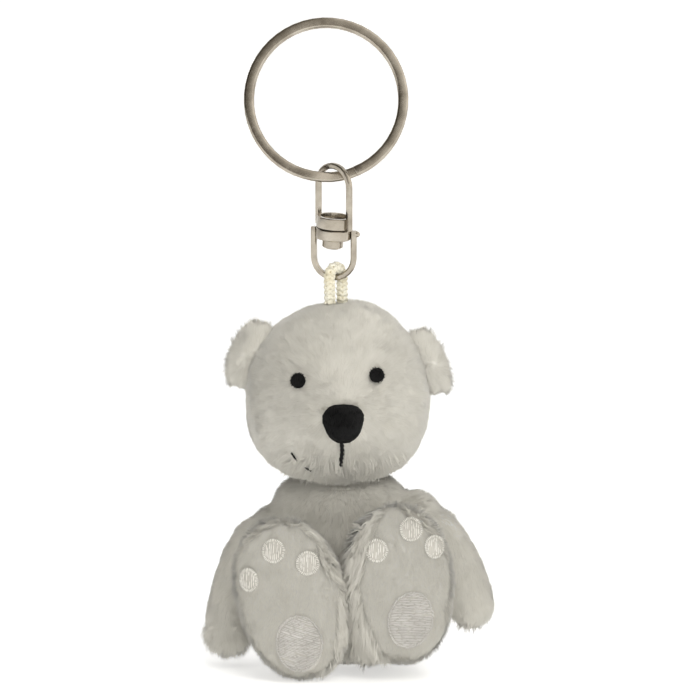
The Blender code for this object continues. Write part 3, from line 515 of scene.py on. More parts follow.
def strand_mesh(name, strands, tones):
    """One mesh of many strands, each in the material of its tone."""
    count, per, _ = strands.shape
    pattern = spike_faces(per)
    triangles = (pattern[None] + per * np.arange(count)[:, None, None]).reshape(-1, 3)
    mesh = bpy.data.meshes.new(name)
    mesh.vertices.add(count * per)
    mesh.vertices.foreach_set("co", strands.astype(np.float32).ravel())
    mesh.loops.add(len(triangles) * 3)
    mesh.loops.foreach_set("vertex_index", triangles.ravel())
    mesh.polygons.add(len(triangles))
    mesh.polygons.foreach_set("loop_start", np.arange(0, len(triangles) * 3, 3, dtype=np.int32))
    mesh.polygons.foreach_set("material_index", np.repeat(tones, len(pattern)).astype(np.int32))
    mesh.update(calc_edges=True)
    mesh.shade_smooth()
    return mesh


def shade_as_cloth(mesh, per, roots, normals, directions, facing):
    """Shade strands like the cloth under them, turned a little towards the facing vector."""
    turned = smoothstep(-0.4, 0.5, normals @ np.array(facing))[:, None] * np.array(facing)
    soft = unit(normals * 0.85 + noise_vectors(roots, 0.9, 77) * 0.14 + directions * 0.12 + turned)
    mesh.normals_split_custom_set_from_vertices(np.repeat(soft, per, axis=0).tolist())


def pick_tones(points, rng, seed):
    """Tone of each strand: mostly light, darker strands in loose patches."""
    patch = noise_vectors(points, 2.5, seed)[:, 0] * 0.5 + rng.normal(size=len(points)) * 0.7
    return np.digitize(patch, (0.35, 1.1))


def grow(name, skin, body, materials, density, length, flow, lift, seed, keep=None,
         width=STRAND_WIDTH, tuft=0.22, fine=0.28, droop=None, facing=(0, 0, 0), slot="white_plush"):
    """Pile on a skin. Flow, keep and droop are functions of the root points and normals; length and
    lift are functions or numbers.
    """
    rng = np.random.default_rng(seed)
    points, normals = scatter(skin, density, rng)
    if keep is not None:
        kept = rng.random(len(points)) < keep(points, normals)
        points, normals = points[kept], normals[kept]
    lifts = lift(points, normals) if callable(lift) else np.full(len(points), lift)
    lengths = length(points, normals) if callable(length) else np.full(len(points), length)
    lengths = lengths * (0.75 + 0.4 * rng.random(len(points)))
    directions = comb(points, normals, flow(points, normals), lifts, seed, tuft, fine)
    sag = None if droop is None else droop(points, normals)
    chosen = pick_tones(points, rng, seed)
    strands = spike_points(points, normals, directions, lengths, width, rng, sag)
    mesh = strand_mesh(name, strands, chosen)
    shade_as_cloth(mesh, strands.shape[1], points, normals, directions, facing)
    return make_piece(name, mesh, body, slot, *materials)


# --- where things are ---

def away_from(node, points, radius, soft=0.4):
    """0 within an embroidered piece's outline as seen from the front, 1 outside it."""
    low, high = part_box(node)
    middle = (np.array(low) + np.array(high)) / 2
    half = (np.array(high) - np.array(low)) / 2 * radius
    dx = (points[:, 0] - middle[0]) / half[0]
    dz = (points[:, 2] - middle[2]) / half[2]
    near = np.abs(points[:, 1] - middle[1]) < 5 * MM
    share = smoothstep(1 - soft / 2, 1 + soft / 2, np.hypot(dx, dz))
    return np.where(near, share, 1.0)


def distance_to(tree, points):
    return np.array([tree.find_nearest(Vector(point))[3] for point in points])


# --- head ---

def head_flow(points, normals):
    """Pile brushed away from the nose over the face, and down the back of the head."""
    nose = centre_of("nose") + vec(0, 0, 2.0) * MM
    radial = points - nose
    radial[:, 1] *= 0.4
    radial = unit(radial)
    down = vec(0, 0, -1.0)
    back = vec(0, 0.8, -1.0)
    front = smoothstep(2 * MM, -4 * MM, points[:, 1])[:, None]
    return radial * front + (back + radial * 0.2) * (1 - front) + down * 0.25


def chin_share(points):
    """1 on the underside of the muzzle, where the pile is long."""
    nose = centre_of("nose")
    low = smoothstep(nose[2] - 5 * MM, nose[2] - 9 * MM, points[:, 2])
    front = smoothstep(-4 * MM, -9 * MM, points[:, 1])
    return low * front


def ear_share(points):
    """1 on the head beside an ear's seam."""
    nodes = [f"ear_{side}_{face}" for side in SIDES for face in ("front", "back")]
    return smoothstep(3.0 * MM, 0.8 * MM, distance_to(node_tree(*nodes), points))


def head_length(points, normals):
    longer = 1.3 * chin_share(points) + 0.9 * ear_share(points)
    return 1.4 + longer + 0.2 * noise_vectors(points, 5, 31)[:, 1]


def head_lift(points, normals):
    raised = 0.16 * chin_share(points) + 0.16 * ear_share(points)
    return np.clip(0.34 + raised + 0.07 * noise_vectors(points, 3, 33)[:, 0], 0.2, 0.7)


def from_cord(points):
    """Distance from the upright line through the cord."""
    cord = centre_of("cord_loop")
    return np.hypot(points[:, 0] - cord[0], points[:, 1] - cord[1])


def face_keep(points, normals):
    """Share of strands kept: few under the embroidery, the mouth, the smile and the cord."""
    keep = away_from("nose", points, 0.93, 0.12)
    for side in SIDES:
        keep = keep * away_from(f"eye_{side}", points, 0.74, 0.5)
    mouth = away_from("mouth_stitch", points, 1.0, 0.6)
    nose = centre_of("nose")
    for start, end, _ in SMILE_DASHES:
        across = points[:, 0] - nose[0] - (start[0] + end[0]) / 2 * MM
        up = points[:, 2] - nose[2] - (start[1] + end[1]) / 2 * MM
        keep = keep * smoothstep(0.5 * MM, 1.2 * MM, np.hypot(across, up))
    top = points[:, 2] > 58 * MM
    return keep * (0.15 + 0.85 * mouth) * np.where(top & (from_cord(points) < 1.2 * MM), 0.3, 1.0)


def build_head(plush, tones):
    covers = ["head_gusset", "head_side_left", "head_side_right"]
    shapes = [outline_of("head", covers, ["head_stuffing"]), lump(*CROWN_LUMP)]

    def inset(points):
        near = smoothstep(3.5 * MM, 1.5 * MM, from_cord(points))
        return PILE_INSET + CROWN_DIMPLE * near * (points[:, 2] > 55 * MM)

    skin = build_skin("head_skin", join_meshes("head", shapes), covers, inset=inset)
    make_piece("head_skin", skin, "head", "white_plush", plush, replaced=covers)
    for number, (region, frontal, low, high, density) in enumerate(HEAD_REGIONS):
        def keep(points, normals):
            here = (normals[:, 1] < FACE_SLOPE) == frontal
            return face_keep(points, normals) * (here & (normals[:, 2] > low) & (normals[:, 2] <= high))

        grow(f"head_pile_{region}", skin, "head", tones, density, head_length, head_flow,
             head_lift, 11 + 10 * number, keep=keep, tuft=0.34, fine=0.3)
    build_chin_tufts(skin, tones)
    build_overhang("eye_left", skin, tones, 95, False)
    build_overhang("eye_right", skin, tones, 96, False)
    build_overhang("nose", skin, tones, 97, True)


def build_overhang(node, skin, tones, seed, only_above):
    """Pile that leans over the edge of an embroidered piece."""
    middle = centre_of(node)

    def keep(points, normals):
        ring = away_from(node, points, 0.95, 0.2) * (1 - away_from(node, points, 1.25, 0.3))
        above = points[:, 2] > middle[2] + 1.8 * MM if only_above else 1.0
        return ring * above * (normals[:, 1] < 0)

    def flow(points, normals):
        return unit(middle - points)

    grow(f"{node}_overhang", skin, "head", tones, PILE_DENSITY["overhang"], 1.3, flow, 0.68, seed,
         keep=keep, width=0.12, tuft=0.9, fine=0.7, droop=lambda p, n: flow(p, n) * 0.8)


def build_chin_tufts(skin, tones):
    """Longer, bent tufts that hang over the edge of the muzzle."""
    def keep(points, normals):
        return chin_share(points) * (normals[:, 2] < -0.1) * away_from("mouth_stitch", points, 1.0, 0.6)

    def droop(points, normals):
        return vec(0, 0.15, -0.9) + normals * 0.1

    grow("head_pile_tufts", skin, "head", tones, PILE_DENSITY["chin_tufts"], 2.5, head_flow, 0.45, 91,
         keep=keep, width=0.15, tuft=1.0, fine=0.6, droop=droop, facing=(0, -0.4, 0.2))


# --- ears ---

def build_ear(side, plush, tones):
    nodes = [f"ear_{side}_front", f"ear_{side}_back"]
    outline = join_meshes("ear", [outline_of("ear", nodes, []), lump(*EAR_LUMPS[side])])
    skin = build_skin(f"ear_{side}_skin", outline, nodes, EAR_VOXEL, EAR_INSET)
    make_piece(f"ear_{side}_skin", skin, f"ear_{side}", "white_plush", plush, replaced=nodes)
    middle = centre_of(*nodes)
    sign = SIDES[side]

    def flow(points, normals):
        out = (points - middle) * vec(1.0, 0.2, 1.0)
        return unit(out) + vec(sign * 0.5, 0, 0.1)

    def rim(points, normals):
        """1 on the ear's edge, except low down."""
        return smoothstep(0.75, 0.2, np.abs(normals[:, 1])) * (normals[:, 2] > -0.5)

    body = f"ear_{side}"
    grow(f"ear_{side}_pile", skin, body, tones, PILE_DENSITY["ear"], 1.25, flow, 0.36, 201 + sign)
    grow(f"ear_{side}_tufts", skin, body, tones, PILE_DENSITY["ear_tufts"], 1.7, flow, 0.5, 221 + sign,
         keep=rim, width=0.14, tuft=0.6, fine=0.6, droop=lambda p, n: flow(p, n) * 0.4)


# --- torso and arms ---

def shoulder_share(points):
    """1 on the upper torso and the shoulders, where the pile stands up round the neck."""
    return smoothstep(22 * MM, 27 * MM, points[:, 2])


def hand_share(points):
    """1 on the hands."""
    out = np.abs(points[:, 0])
    return smoothstep(8.5 * MM, 4 * MM, points[:, 2]) * smoothstep(14.5 * MM, 16 * MM, out)


def body_flow(points, normals):
    """Down the torso and the arms, outwards over the shoulders."""
    out = np.clip(points[:, :1] / (6 * MM), -1, 1) * vec(1.0, 0, 0)
    return vec(0.0, -0.12, -1.0) + out * (0.15 + 0.5 * shoulder_share(points)[:, None])


def half_of(mesh, name, sign):
    """The half of a closed mesh on one side of the toy's middle, closed at the cut."""
    bm = bmesh.new()
    bm.from_mesh(mesh)
    geometry = list(bm.verts) + list(bm.edges) + list(bm.faces)
    cut = bmesh.ops.bisect_plane(
        bm, geom=geometry, plane_co=(0, 0, 0), plane_no=(-sign, 0, 0), clear_outer=True
    )
    edges = [item for item in cut["geom_cut"] if isinstance(item, bmesh.types.BMEdge)]
    bmesh.ops.contextual_create(bm, geom=edges)
    half = mesh_from(bm, name)
    half.shade_smooth()
    return half


def blend_arm(obj):
    """Bakes the piece's placement into its mesh."""
    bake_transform(obj)


def build_body(plush, tones):
    """Torso and arms are one soft form, split down the middle into a half for each side."""
    covers = ["torso_front", "torso_back", "arm_cover_left", "arm_cover_right"]
    shapes = [outline_of("torso", covers[:2], ["torso_stuffing"])]
    for side in SIDES:
        shapes.append(outline_of("arm", [f"arm_cover_{side}"], [f"arm_stuffing_{side}"]))
    shapes += [lump(*numbers) for numbers in BODY_LUMPS]

    def inset(points):
        wide = smoothstep(14 * MM, 17 * MM, points[:, 0]) * smoothstep(19 * MM, 22 * MM, points[:, 2])
        return PILE_INSET + SHOULDER_TUCK * wide

    skin = build_skin("body_skin", join_meshes("body", shapes), covers, inset=inset)
    for side, sign in SIDES.items():
        half = half_of(skin, f"body_{side}_skin", sign)
        replaced = (f"arm_cover_{side}", covers[0] if side == "left" else covers[1])
        piece = make_piece(f"body_{side}_skin", half, None, "white_plush", plush, replaced=replaced)
        blend_arm(piece)
        for region, facing in (("front", -1), ("back", 1)):
            pile = grow(
                f"body_{side}_pile_{region}", skin, None, tones, PILE_DENSITY["body"],
                lambda p, n: 1.4 + 0.3 * shoulder_share(p) + 0.5 * hand_share(p),
                body_flow,
                lambda p, n: 0.34 + 0.12 * shoulder_share(p),
                301 + 10 * facing + sign,
                keep=lambda p, n: (n[:, 1] * facing > 0) * (p[:, 0] * sign > 0),
                facing=(0, 0.3 * facing, 0.1),
            )
            blend_arm(pile)
        tufts = grow(
            f"body_{side}_tufts", skin, None, tones, PILE_DENSITY["hand_tufts"], 2.3, body_flow, 0.5,
            421 + sign, keep=lambda p, n: hand_share(p) * (p[:, 0] * sign > 0),
            width=0.15, tuft=0.7, fine=0.6, droop=lambda p, n: vec(0, 0, -0.5),
        )
        blend_arm(tufts)


# --- legs ---

def build_leg(side, plush, velboa, tones, sole_tones):
    cover = f"leg_cover_{side}"
    sole = f"sole_{side}"
    body = f"leg_{side}"
    sign = SIDES[side]
    sole_tree = node_tree(sole)
    cover_tree = node_tree(cover)
    axis = centre_of(sole)

    def sole_share(points):
        """1 on the sole, 0 on the plush, which wraps round the rim of the foot."""
        gap = distance_to(cover_tree, points) - distance_to(sole_tree, points)
        inner = smoothstep(1 * MM, 7 * MM, (axis[0] - points[:, 0]) * sign)
        high = smoothstep(4 * MM, 12 * MM, points[:, 2] - axis[2])
        wrap = 0.5 + PLUSH_WRAP[side] * inner + 0.7 * high + 0.6 * noise_vectors(points, 4, 71)[:, 0]
        return smoothstep(-0.6 * MM, 0.6 * MM, gap - wrap * MM)

    def inset(points):
        return PILE_INSET + (SOLE_INSET - PILE_INSET) * sole_share(points)

    shapes = [outline_of("leg", [cover, sole], [f"leg_stuffing_{side}"]), lump(*LEG_LUMPS[side])]
    outline = join_meshes("leg", shapes)
    skin = build_skin(f"leg_{side}_skin", outline, [cover, sole], inset=inset)
    make_piece(f"leg_{side}_skin", skin, body, "white_plush", plush, velboa, replaced=(cover, sole))
    centres = np.array([polygon.center for polygon in skin.polygons])
    skin.polygons.foreach_set("material_index", (sole_share(centres) > 0.5).astype(np.int32))
    pads = [f"{pad}_{side}" for pad in (*TOE_PADS, "heel_pad")]

    def rim_share(points):
        """1 on the edge of the sole, 0 a little way in."""
        return 1 - smoothstep(0.5, 1.0, sole_share(points))

    def inner_share(points, normals):
        """1 on the side that faces the other leg, near the sole."""
        inner = smoothstep(0.2, 0.7, -normals[:, 0] * sign)
        return inner * smoothstep(-13 * MM, -15.5 * MM, points[:, 1]) * (1 - sole_share(points))

    def outward(points):
        """From the middle of the sole, as seen from the front."""
        return unit((points - axis) * vec(1.0, 0.0, 1.0))

    def flow(points, normals):
        return outward(points) * 0.25 + vec(0.0, -0.75, -0.55)

    def nap_flow(points, normals):
        rim = rim_share(points)[:, None]
        return outward(points) * rim * 0.6 + vec(0.0, -0.1, -1.0)

    def nap_keep(points, normals):
        keep = sole_share(points)
        for pad in pads:
            keep = keep * away_from(pad, points, 0.97, 0.1)
        return keep

    grow(f"leg_{side}_pile", skin, body, tones, PILE_DENSITY["leg"], 1.7, flow, 0.45, 501 + sign,
         keep=lambda p, n: 1 - sole_share(p), facing=(0, -0.7, 0.15))
    grow(f"leg_{side}_fringe", skin, body, tones, PILE_DENSITY["fringe"], INNER_FRINGE[side],
         lambda p, n: n * 0.5 + vec(-0.2 * sign, -0.6, -0.5), 0.5, 541 + sign,
         keep=inner_share, width=0.16, tuft=0.6, fine=0.5,
         droop=lambda p, n: vec(0, 0, -0.6), facing=(0, -1.0, 0.2))
    grow(f"sole_{side}_nap", skin, body, sole_tones, PILE_DENSITY["sole"],
         lambda p, n: 0.55 + 0.75 * rim_share(p), nap_flow, 0.42, 521 + sign, keep=nap_keep,
         width=0.11, tuft=0.25, fine=0.3, facing=(0, -0.6, 0.15), slot="short_pile")


# --- threads ---

def tangent_at(path, i):
    return (path[min(i + 1, len(path) - 1)] - path[max(i - 1, 0)]).normalized()


def thread_tubes(paths, radius, sides=5):
    """One mesh of closed, tapered tubes along many short paths."""
    verts = []
    faces = []
    for path in paths:
        count = len(path)
        base = len(verts)
        for i, point in enumerate(path):
            tangent = tangent_at(path, i)
            helper = Vector((0, 0, 1)) if abs(tangent.z) < 0.8 else Vector((1, 0, 0))
            side = tangent.cross(helper).normalized()
            up = side.cross(tangent)
            thin = 0.55 if i in (0, count - 1) else 1.0
            for k in range(sides):
                turn = math.tau * k / sides
                around = side * math.cos(turn) + up * math.sin(turn)
                verts.append(point + around * radius * thin * MM)
        for i in range(count - 1):
            for k in range(sides):
                a = base + i * sides + k
                b = base + i * sides + (k + 1) % sides
                faces.append((a, b, b + sides, a + sides))
        faces.append(tuple(base + k for k in reversed(range(sides))))
        faces.append(tuple(base + (count - 1) * sides + k for k in range(sides)))
    mesh = bpy.data.meshes.new("threads")
    mesh.from_pydata([tuple(v) for v in verts], [], faces)
    mesh.shade_smooth()
    return mesh


class Patch:
    """The outline of one embroidered CAD piece, and points on its raised face."""

    def __init__(self, node, lean=0.0):
        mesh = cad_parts[node].data
        points = np.array([vertex.co for vertex in mesh.vertices], float)
        self.middle = points.mean(axis=0)
        _, _, axes = np.linalg.svd(points - self.middle, full_matrices=False)
        self.out = axes[2] if axes[2][1] < 0 else -axes[2]
        up = np.array((math.sin(lean), 0.0, math.cos(lean)))
        self.up = unit(up - self.out * (up @ self.out))
        self.across = np.cross(self.up, self.out)
        flat = points - self.middle
        self.half_u = np.abs(flat @ self.across).max()
        self.half_v = np.abs(flat @ self.up).max()
        self.tree = node_tree(node)

    def hit(self, u, v):
        """The point of the face at u across and v up, or None outside the outline."""
        start = Vector(self.middle + self.across * u + self.up * v + self.out * 10 * MM)
        return self.tree.ray_cast(start, Vector(-self.out))[0]

    def on_face(self, u, v, lift):
        """A point that stands lift millimetres over the face."""
        point = self.hit(u, v)
        if point is None:
            point = Vector(self.middle + self.across * u + self.up * v)
        return point + Vector(self.out) * lift * MM

    def stitch(self, start, end, radius, steps=5, arch=0.05):
        """One stitch between two points of the face, arched in the middle."""
        path = []
        for i in range(steps + 1):
            share = i / steps
            u = start[0] + (end[0] - start[0]) * share
            v = start[1] + (end[1] - start[1]) * share
            path.append(self.on_face(u, v, radius * 0.5 + arch * math.sin(math.pi * share)))
        return path


def fill_stitches(patch, pitch, length, radius, rng, inset=0.88, turn=0.0, broken=0.0):
    """Rows of satin stitches inside an ellipse; turn sets the angle of the rows from upright."""
    paths = []
    cos_t, sin_t = math.cos(turn), math.sin(turn)
    reach = max(patch.half_u, patch.half_v) / MM
    rows = int(reach / pitch)
    for row in range(-rows, rows + 1):
        s = row * pitch + rng.normal() * pitch * 0.1
        ts = np.linspace(-reach, reach, 160)
        u = s * cos_t + ts * sin_t
        v = -s * sin_t + ts * cos_t
        inside = (u * MM / patch.half_u) ** 2 + (v * MM / patch.half_v) ** 2 < inset ** 2
        if inside.sum() < 4:
            continue

        def along_row(t):
            return (s * cos_t + t * sin_t) * MM, (-s * sin_t + t * cos_t) * MM

        low, high = ts[inside].min(), ts[inside].max()
        t = low - rng.random() * length * 0.7
        while t < high:
            a = max(t, low)
            b = min(t + length * (0.8 + 0.4 * rng.random()), high)
            t = b + 0.05
            if b - a < 0.25 or rng.random() < broken:
                continue
            paths.append(patch.stitch(along_row(a), along_row(b), radius))
    return paths


def rim_stitches(patch, count, depth, radius, rng, inset=0.97, slant=0.3):
    """Short slanted stitches round the outline."""
    paths = []
    for i in range(count):
        turn = math.tau * (i + rng.normal() * 0.12) / count
        later = turn + slant * math.tau / count
        outer = inset + rng.normal() * 0.012
        start = (math.cos(turn) * patch.half_u * outer, math.sin(turn) * patch.half_v * outer)
        inner_u = outer - depth * MM / patch.half_u
        inner_v = outer - depth * MM / patch.half_v
        end = (math.cos(later) * patch.half_u * inner_u, math.sin(later) * patch.half_v * inner_v)
        paths.append(patch.stitch(start, end, radius, 3, 0.06))
    return paths


def dress_cad_nodes(names, material):
    for name in names:
        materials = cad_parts[name].data.materials
        materials.clear()
        materials.append(material)


def build_pads(side, toe_thread, heel_thread, base_cloth):
    """Stitches over the three toe pads and the heel pad of one sole."""
    rng = np.random.default_rng(600 + SIDES[side])
    body = f"leg_{side}"
    for pad in TOE_PADS:
        node = f"{pad}_{side}"
        patch = Patch(node)
        paths = fill_stitches(patch, 0.3, 1.5, STITCH_LIFT, rng, 0.72, 0.05, 0.25)
        paths += rim_stitches(patch, 38, 0.45, TOE_THREAD, rng)
        threads = thread_tubes(paths, TOE_THREAD)
        make_piece(f"{node}_threads", threads, body, "white_embroidery", toe_thread)
    node = f"heel_pad_{side}"
    patch = Patch(node, math.radians(HEEL_PATCH_LEAN[side]))
    turn = math.radians(HEEL_STITCH_TURN[side])
    paths = fill_stitches(patch, 0.27, 2.0, STITCH_LIFT, rng, 0.90, turn, 0.05)
    paths += rim_stitches(patch, 92, 0.30, 0.08, rng, 0.985, 0.9)
    threads = thread_tubes(paths, HEEL_THREAD)
    make_piece(f"{node}_threads", threads, body, "white_embroidery", heel_thread)
    dress_cad_nodes([f"{pad}_{side}" for pad in (*TOE_PADS, "heel_pad")], base_cloth)


def build_face_threads(black_thread, black_cloth):
    """Stitches over the eyes and the nose."""
    rng = np.random.default_rng(700)
    for node in ("eye_left", "eye_right", "nose"):
        patch = Patch(node)
        if node == "nose":
            paths = nose_stitches(patch, rng)
        else:
            paths = fill_stitches(patch, 0.2, 2.2, STITCH_LIFT, rng, 0.97)
            paths += rim_stitches(patch, 16, 0.55, STITCH_LIFT, rng, 1.1, 0.5)
        threads = thread_tubes(paths, BLACK_THREAD)
        make_piece(f"{node}_threads", threads, "head", "black_embroidery", black_thread)
        dress_cad_nodes([node], black_cloth)


def nose_stitches(patch, rng):
    """Upright satin stitches that follow the rounded triangle of the nose."""
    paths = []
    pitch = 0.17
    rows = int(patch.half_u / MM / pitch)
    for row in range(-rows, rows + 1):
        u = row * pitch * MM
        heights = np.linspace(-patch.half_v, patch.half_v, 60)
        reach = [v for v in heights if patch.hit(u, v) is not None]
        if len(reach) < 4:
            continue
        middle = reach[0] + (reach[-1] - reach[0]) * (0.4 + 0.25 * rng.random())
        for low, high in ((reach[0], middle), (middle, reach[-1])):
            paths.append(patch.stitch((u, low), (u, high), STITCH_LIFT, 5, 0.04))
    return paths


def twisted_thread(path, radius, turns):
    """Two plies wound round each other along a path."""
    plies = []
    count = len(path)
    for start in (0.0, math.pi):
        ply = []
        for i, point in enumerate(path):
            tangent = tangent_at(path, i)
            side = tangent.cross(Vector((0, 1, 0))).normalized()
            up = side.cross(tangent)
            angle = start + math.tau * turns * i / (count - 1)
            ply.append(point + (side * math.cos(angle) + up * math.sin(angle)) * radius * 0.55 * MM)
        plies.append(ply)
    return plies


def first_hit(tree, x, z):
    """The foremost point of a surface at x across and z up, or None."""
    return tree.ray_cast(Vector((x, -50 * MM, z)), Vector((0, 1, 0)))[0]


def mouth_path(skin_tree):
    """The upright mouth thread: on the CAD thread, and close to the backing cloth."""
    low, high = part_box("mouth_stitch")
    x = (low.x + high.x) / 2
    tree = node_tree("mouth_stitch")
    y = low.y
    path = []
    for i in range(MOUTH_STEPS + 1):
        share = i / MOUTH_STEPS
        z = high.z + 0.5 * MM + (low.z - high.z - 0.2 * MM) * share
        sway = 0.15 * MM * math.sin(5.0 * share) - 0.35 * MM
        thread = first_hit(tree, x, z)
        if thread is not None:
            y = thread.y
        cloth = first_hit(skin_tree, x, z)
        y = max(y, cloth.y - 0.9 * MM)
        path.append(Vector((x + sway, y + 0.05 * MM, z)))
    return path


def smile_dash(skin_tree, start, end, raised):
    """One dash of the smile, its ends given from the middle of the nose."""
    nose = centre_of("nose")
    dash = []
    for i in range(SMILE_STEPS + 1):
        share = i / SMILE_STEPS
        x = nose[0] + (start[0] + (end[0] - start[0]) * share) * MM
        z = nose[2] + (start[1] + (end[1] - start[1]) * share) * MM
        dash.append(first_hit(skin_tree, x, z) + Vector((0, -raised * MM, 0)))
    return dash


def build_mouth(black_thread, skin_tree):
    """The upright mouth thread, and what shows of the smile on the bear's right."""
    mouth = thread_tubes(twisted_thread(mouth_path(skin_tree), 0.28, 3.2), MOUTH_THREAD, 7)
    replaced = ("mouth_stitch",)
    make_piece("mouth_threads", mouth, "head", "black_embroidery", black_thread, replaced=replaced)
    dashes = []
    for start, end, raised in SMILE_DASHES:
        dashes += twisted_thread(smile_dash(skin_tree, start, end, raised), 0.16, 1.0)
    smile = thread_tubes(dashes, BLACK_THREAD, 6)
    make_piece("smile_threads", smile, "head", "black_embroidery", black_thread)


# --- cord ---

def cord_path():
    """Centreline of the loop, from the CAD node's own size and direction."""
    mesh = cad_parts["cord_loop"].data
    points = np.array([vertex.co for vertex in mesh.vertices], float)
    middle = points.mean(axis=0)
    _, _, axes = np.linalg.svd((points - middle)[:, :2], full_matrices=False)
    along = Vector((*axes[0], 0)).normalized()
    low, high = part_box("cord_loop")
    thickness = 1.0 * MM
    bottom_ring = points[points[:, 2] < low.z + 0.05 * MM]
    top_ring = points[points[:, 2] > high.z - 1.2 * MM]
    foot = Vector(bottom_ring.mean(axis=0))
    head = Vector(top_ring.mean(axis=0))
    spread = np.abs((bottom_ring - np.array(foot)) @ np.array(along)).max() - thickness
    foot.z = low.z
    middle_top = Vector((head.x, head.y, high.z - thickness - spread))
    path = []
    legs = 24
    arch = 36
    for i in range(legs):
        path.append(foot.lerp(middle_top, i / legs) - along * spread)
    for i in range(arch + 1):
        turn = math.pi * (1 - i / arch)
        path.append(middle_top + along * spread * math.cos(turn) + Vector((0, 0, spread * math.sin(turn))))
    for i in reversed(range(legs)):
        path.append(foot.lerp(middle_top, i / legs) + along * spread)
    return path, along


def braid(path, across, strands=8, pitch=3.6, radius=0.66):
    """Half the strands wind each way and cross over and under each other."""
    lengths = [0.0]
    for a, b in zip(path, path[1:]):
        lengths.append(lengths[-1] + (b - a).length)
    paths = []
    for strand in range(strands):
        way = 1 if strand % 2 else -1
        offset = math.tau * (strand // 2) / (strands // 2)
        points = []
        for i, point in enumerate(path):
            tangent = tangent_at(path, i)
            side = tangent.cross(across).normalized()
            angle = offset + way * math.tau * lengths[i] / (pitch * MM)
            over = 0.5 * math.sin(strands / 2 * angle + (math.pi if way > 0 else 0))
            reach = (radius + over * CORD_STRAND * 0.6) * MM
            points.append(point + (side * math.cos(angle) + across * math.sin(angle)) * reach)
        paths.append(points)
    return paths


def build_cord(cord_material, core_material):
    """The braid of the cord over its core."""
    path, along = cord_path()
    across = Vector((-along.y, along.x, 0))
    fine = []
    for a, b in zip(path, path[1:]):
        fine += [a, a.lerp(b, 0.5)]
    fine.append(path[-1])
    strands = thread_tubes(braid(fine, across), CORD_STRAND, 6)
    core = thread_tubes([fine], CORD_CORE, 10)
    make_piece("cord_braid", strands, "cord", "braided_cord", cord_material, replaced=("cord_loop",))
    make_piece("cord_core", core, "cord", "braided_cord", core_material)


# --- hardware ---

def round_edges(node, body, width, nickel):
    """Copy of a metal piece whose sharp edges are worn round."""
    bm = bmesh.new()
    bm.from_mesh(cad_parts[node].data)
    bmesh.ops.remove_doubles(bm, verts=bm.verts, dist=0.001 * MM)
    shared = [edge for edge in bm.edges if len(edge.link_faces) == 2]
    sharp = [edge for edge in shared if edge.calc_face_angle() > SHARP_EDGE]
    bmesh.ops.bevel(
        bm, geom=sharp, offset=width * MM, segments=3, profile=0.5, affect="EDGES", clamp_overlap=True
    )
    mesh = mesh_from(bm, f"{node}_worn")
    mesh.shade_smooth()
    make_piece(f"{node}_worn", mesh, body, "worn_nickel", nickel, replaced=(node,))


# --- stage ---

def area_light(name, place, size, power, colour):
    """A soft light that looks at the toy, which metal doesn't mirror."""
    light = bpy.data.lights.new(name, "AREA")
    light.size = size
    light.energy = power
    light.color = colour
    obj = add_object(name, light)
    obj.location = place
    obj.visible_glossy = False
    aim = Vector((0, 0, 0.05)) - Vector(place)
    obj.rotation_euler = aim.to_track_quat("-Z", "Y").to_euler()


def build_floor():
    """White paper that bends up behind the toy. It lies just below the seat."""
    bend = [(0.6 + 0.5 * math.sin(t), 0.5 - 0.5 * math.cos(t)) for t in np.linspace(0.1, math.pi / 2, 12)]
    profile = [(-2.0, 0.0), (0.6, 0.0), *bend, (1.1, 2.5)]
    rows = []
    for y, z in profile:
        rows += [(-3.0, y, z - 0.0001), (3.0, y, z - 0.0001)]
    faces = [(2 * i, 2 * i + 1, 2 * i + 3, 2 * i + 2) for i in range(len(profile) - 1)]
    mesh = bpy.data.meshes.new("floor")
    mesh.from_pydata(rows, [], faces)
    mesh.shade_smooth()
    material, nodes, _ = new_material("paper")
    set_inputs(nodes["Principled BSDF"], {
        "Base Color": (0.92, 0.92, 0.915, 1), "Roughness": 0.9,
        "Emission Color": (1, 1, 1, 1), "Emission Strength": 0.45,
    })
    mesh.materials.append(material)
    add_object("floor", mesh)


def build_stage():
    build_floor()
    area_light("key", (0.30, -0.70, 0.72), 0.6, 5.0, (1.0, 0.985, 0.95))
    area_light("fill", (0.0, -0.90, 0.04), 0.7, 3.1, (1.0, 0.99, 0.965))
    area_light("top", (0.05, 0.0, 0.9), 0.6, 2.2, (1.0, 0.985, 0.96))
    build_world()


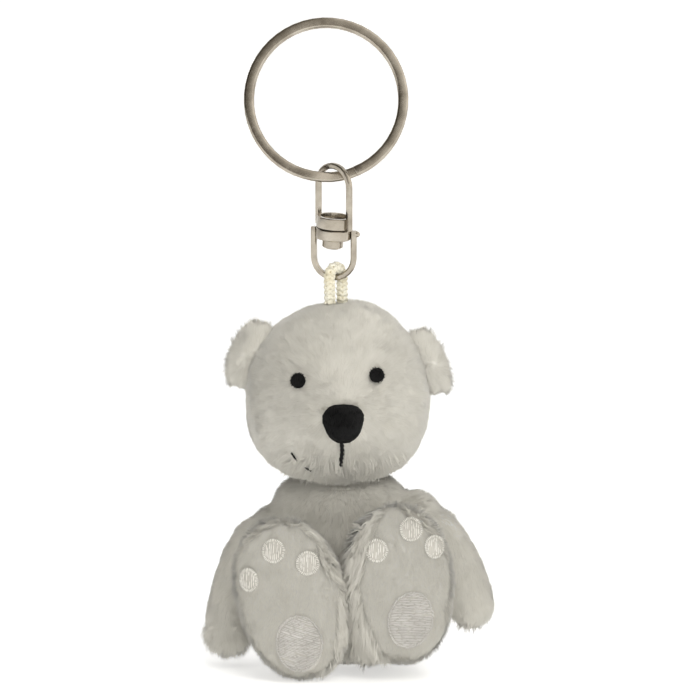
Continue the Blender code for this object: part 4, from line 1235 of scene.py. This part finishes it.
def build_world():
    """Even white light; what metal reflects is dark at the left and below, bright at the right."""
    world = bpy.data.worlds.new("studio")
    world.use_nodes = True
    nodes = world.node_tree.nodes
    links = world.node_tree.links
    even = nodes["Background"]
    set_inputs(even, {"Color": (1.0, 0.99, 0.97, 1), "Strength": 0.22})
    place = nodes.new("ShaderNodeTexCoord")
    parts = nodes.new("ShaderNodeSeparateXYZ")
    links.new(place.outputs["Generated"], parts.inputs["Vector"])
    slope = nodes.new("ShaderNodeMath")
    slope.operation = "MULTIPLY_ADD"
    links.new(parts.outputs["X"], slope.inputs[0])
    slope.inputs[1].default_value = 0.5
    slope.inputs[2].default_value = 0.5
    stops = (
        (0.0, (0.05, 0.045, 0.04)),
        (1.0, (1.6, 1.57, 1.5)),
        (0.45, (0.27, 0.25, 0.22)),
        (0.56, (1.0, 0.97, 0.92)),
    )
    ramp = ramp_node(nodes, links, slope.outputs["Value"], stops)
    mirrored = nodes.new("ShaderNodeBackground")
    links.new(ramp.outputs["Color"], mirrored.inputs["Color"])
    rays = nodes.new("ShaderNodeLightPath")
    mix = nodes.new("ShaderNodeMixShader")
    links.new(rays.outputs["Is Glossy Ray"], mix.inputs["Fac"])
    links.new(even.outputs["Background"], mix.inputs[1])
    links.new(mirrored.outputs["Background"], mix.inputs[2])
    links.new(mix.outputs["Shader"], nodes["World Output"].inputs["Surface"])
    bpy.context.scene.world = world


def build_camera():
    camera = bpy.data.cameras.new("camera")
    camera.sensor_width = 36.0
    camera.lens = 36.0 * VIEW_DISTANCE / VIEW_WIDTH
    camera.clip_start = 0.01
    obj = add_object("camera", camera)
    lean = math.radians(VIEW_ELEVATION)
    obj.location = VIEW_TARGET + Vector((0, -math.cos(lean), math.sin(lean))) * VIEW_DISTANCE
    obj.rotation_euler = (math.pi / 2 - lean, 0, 0)
    bpy.context.scene.camera = obj


# --- assembly ---

def main():
    tones = [plain_material(f"pile_{i}", colour, 0.85, 0.35) for i, colour in enumerate(TONES)]
    sole_tones = [plain_material(f"nap_{i}", colour, 0.85, 0.3) for i, colour in enumerate(SOLE_TONES)]
    cloth = {name: cloth_material(name, *looks) for name, looks in CLOTHS.items()}
    nickel = nickel_material()
    plush = cloth["plush_backing"]

    build_head(plush, tones)
    build_body(plush, tones)
    for side in SIDES:
        build_ear(side, plush, tones)
        build_leg(side, plush, cloth["velboa"], tones, sole_tones)
        build_pads(side, cloth["white_thread"], cloth["heel_thread"], cloth["pad_cloth"])
    build_face_threads(cloth["black_thread"], cloth["black_cloth"])
    head_skin = bpy.data.objects["head_skin"]
    skin_tree = BVHTree.FromObject(head_skin, bpy.context.evaluated_depsgraph_get())
    build_mouth(cloth["black_thread"], skin_tree)
    build_cord(cloth["cord"], cloth["cord_core"])

    for node, (body, width) in WORN_EDGES.items():
        round_edges(node, body, width, nickel)
    dress_cad_nodes(["swivel_rivet"], nickel)
    dress_cad_nodes(["cord_knot"], cloth["cord"])
    dress_cad_nodes(["neck_thread"], plush)
    dress_cad_nodes([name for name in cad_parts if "stuffing" in name], cloth["fibrefill"])
    build_stage()
    build_camera()
    bpy.context.scene.view_settings.view_transform = "Standard"


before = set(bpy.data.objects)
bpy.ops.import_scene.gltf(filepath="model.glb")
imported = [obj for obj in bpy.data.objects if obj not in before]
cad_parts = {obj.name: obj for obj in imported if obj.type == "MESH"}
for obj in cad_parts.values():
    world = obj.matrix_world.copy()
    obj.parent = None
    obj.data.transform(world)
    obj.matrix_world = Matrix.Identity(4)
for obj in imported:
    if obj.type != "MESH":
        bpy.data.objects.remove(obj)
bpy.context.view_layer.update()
main()
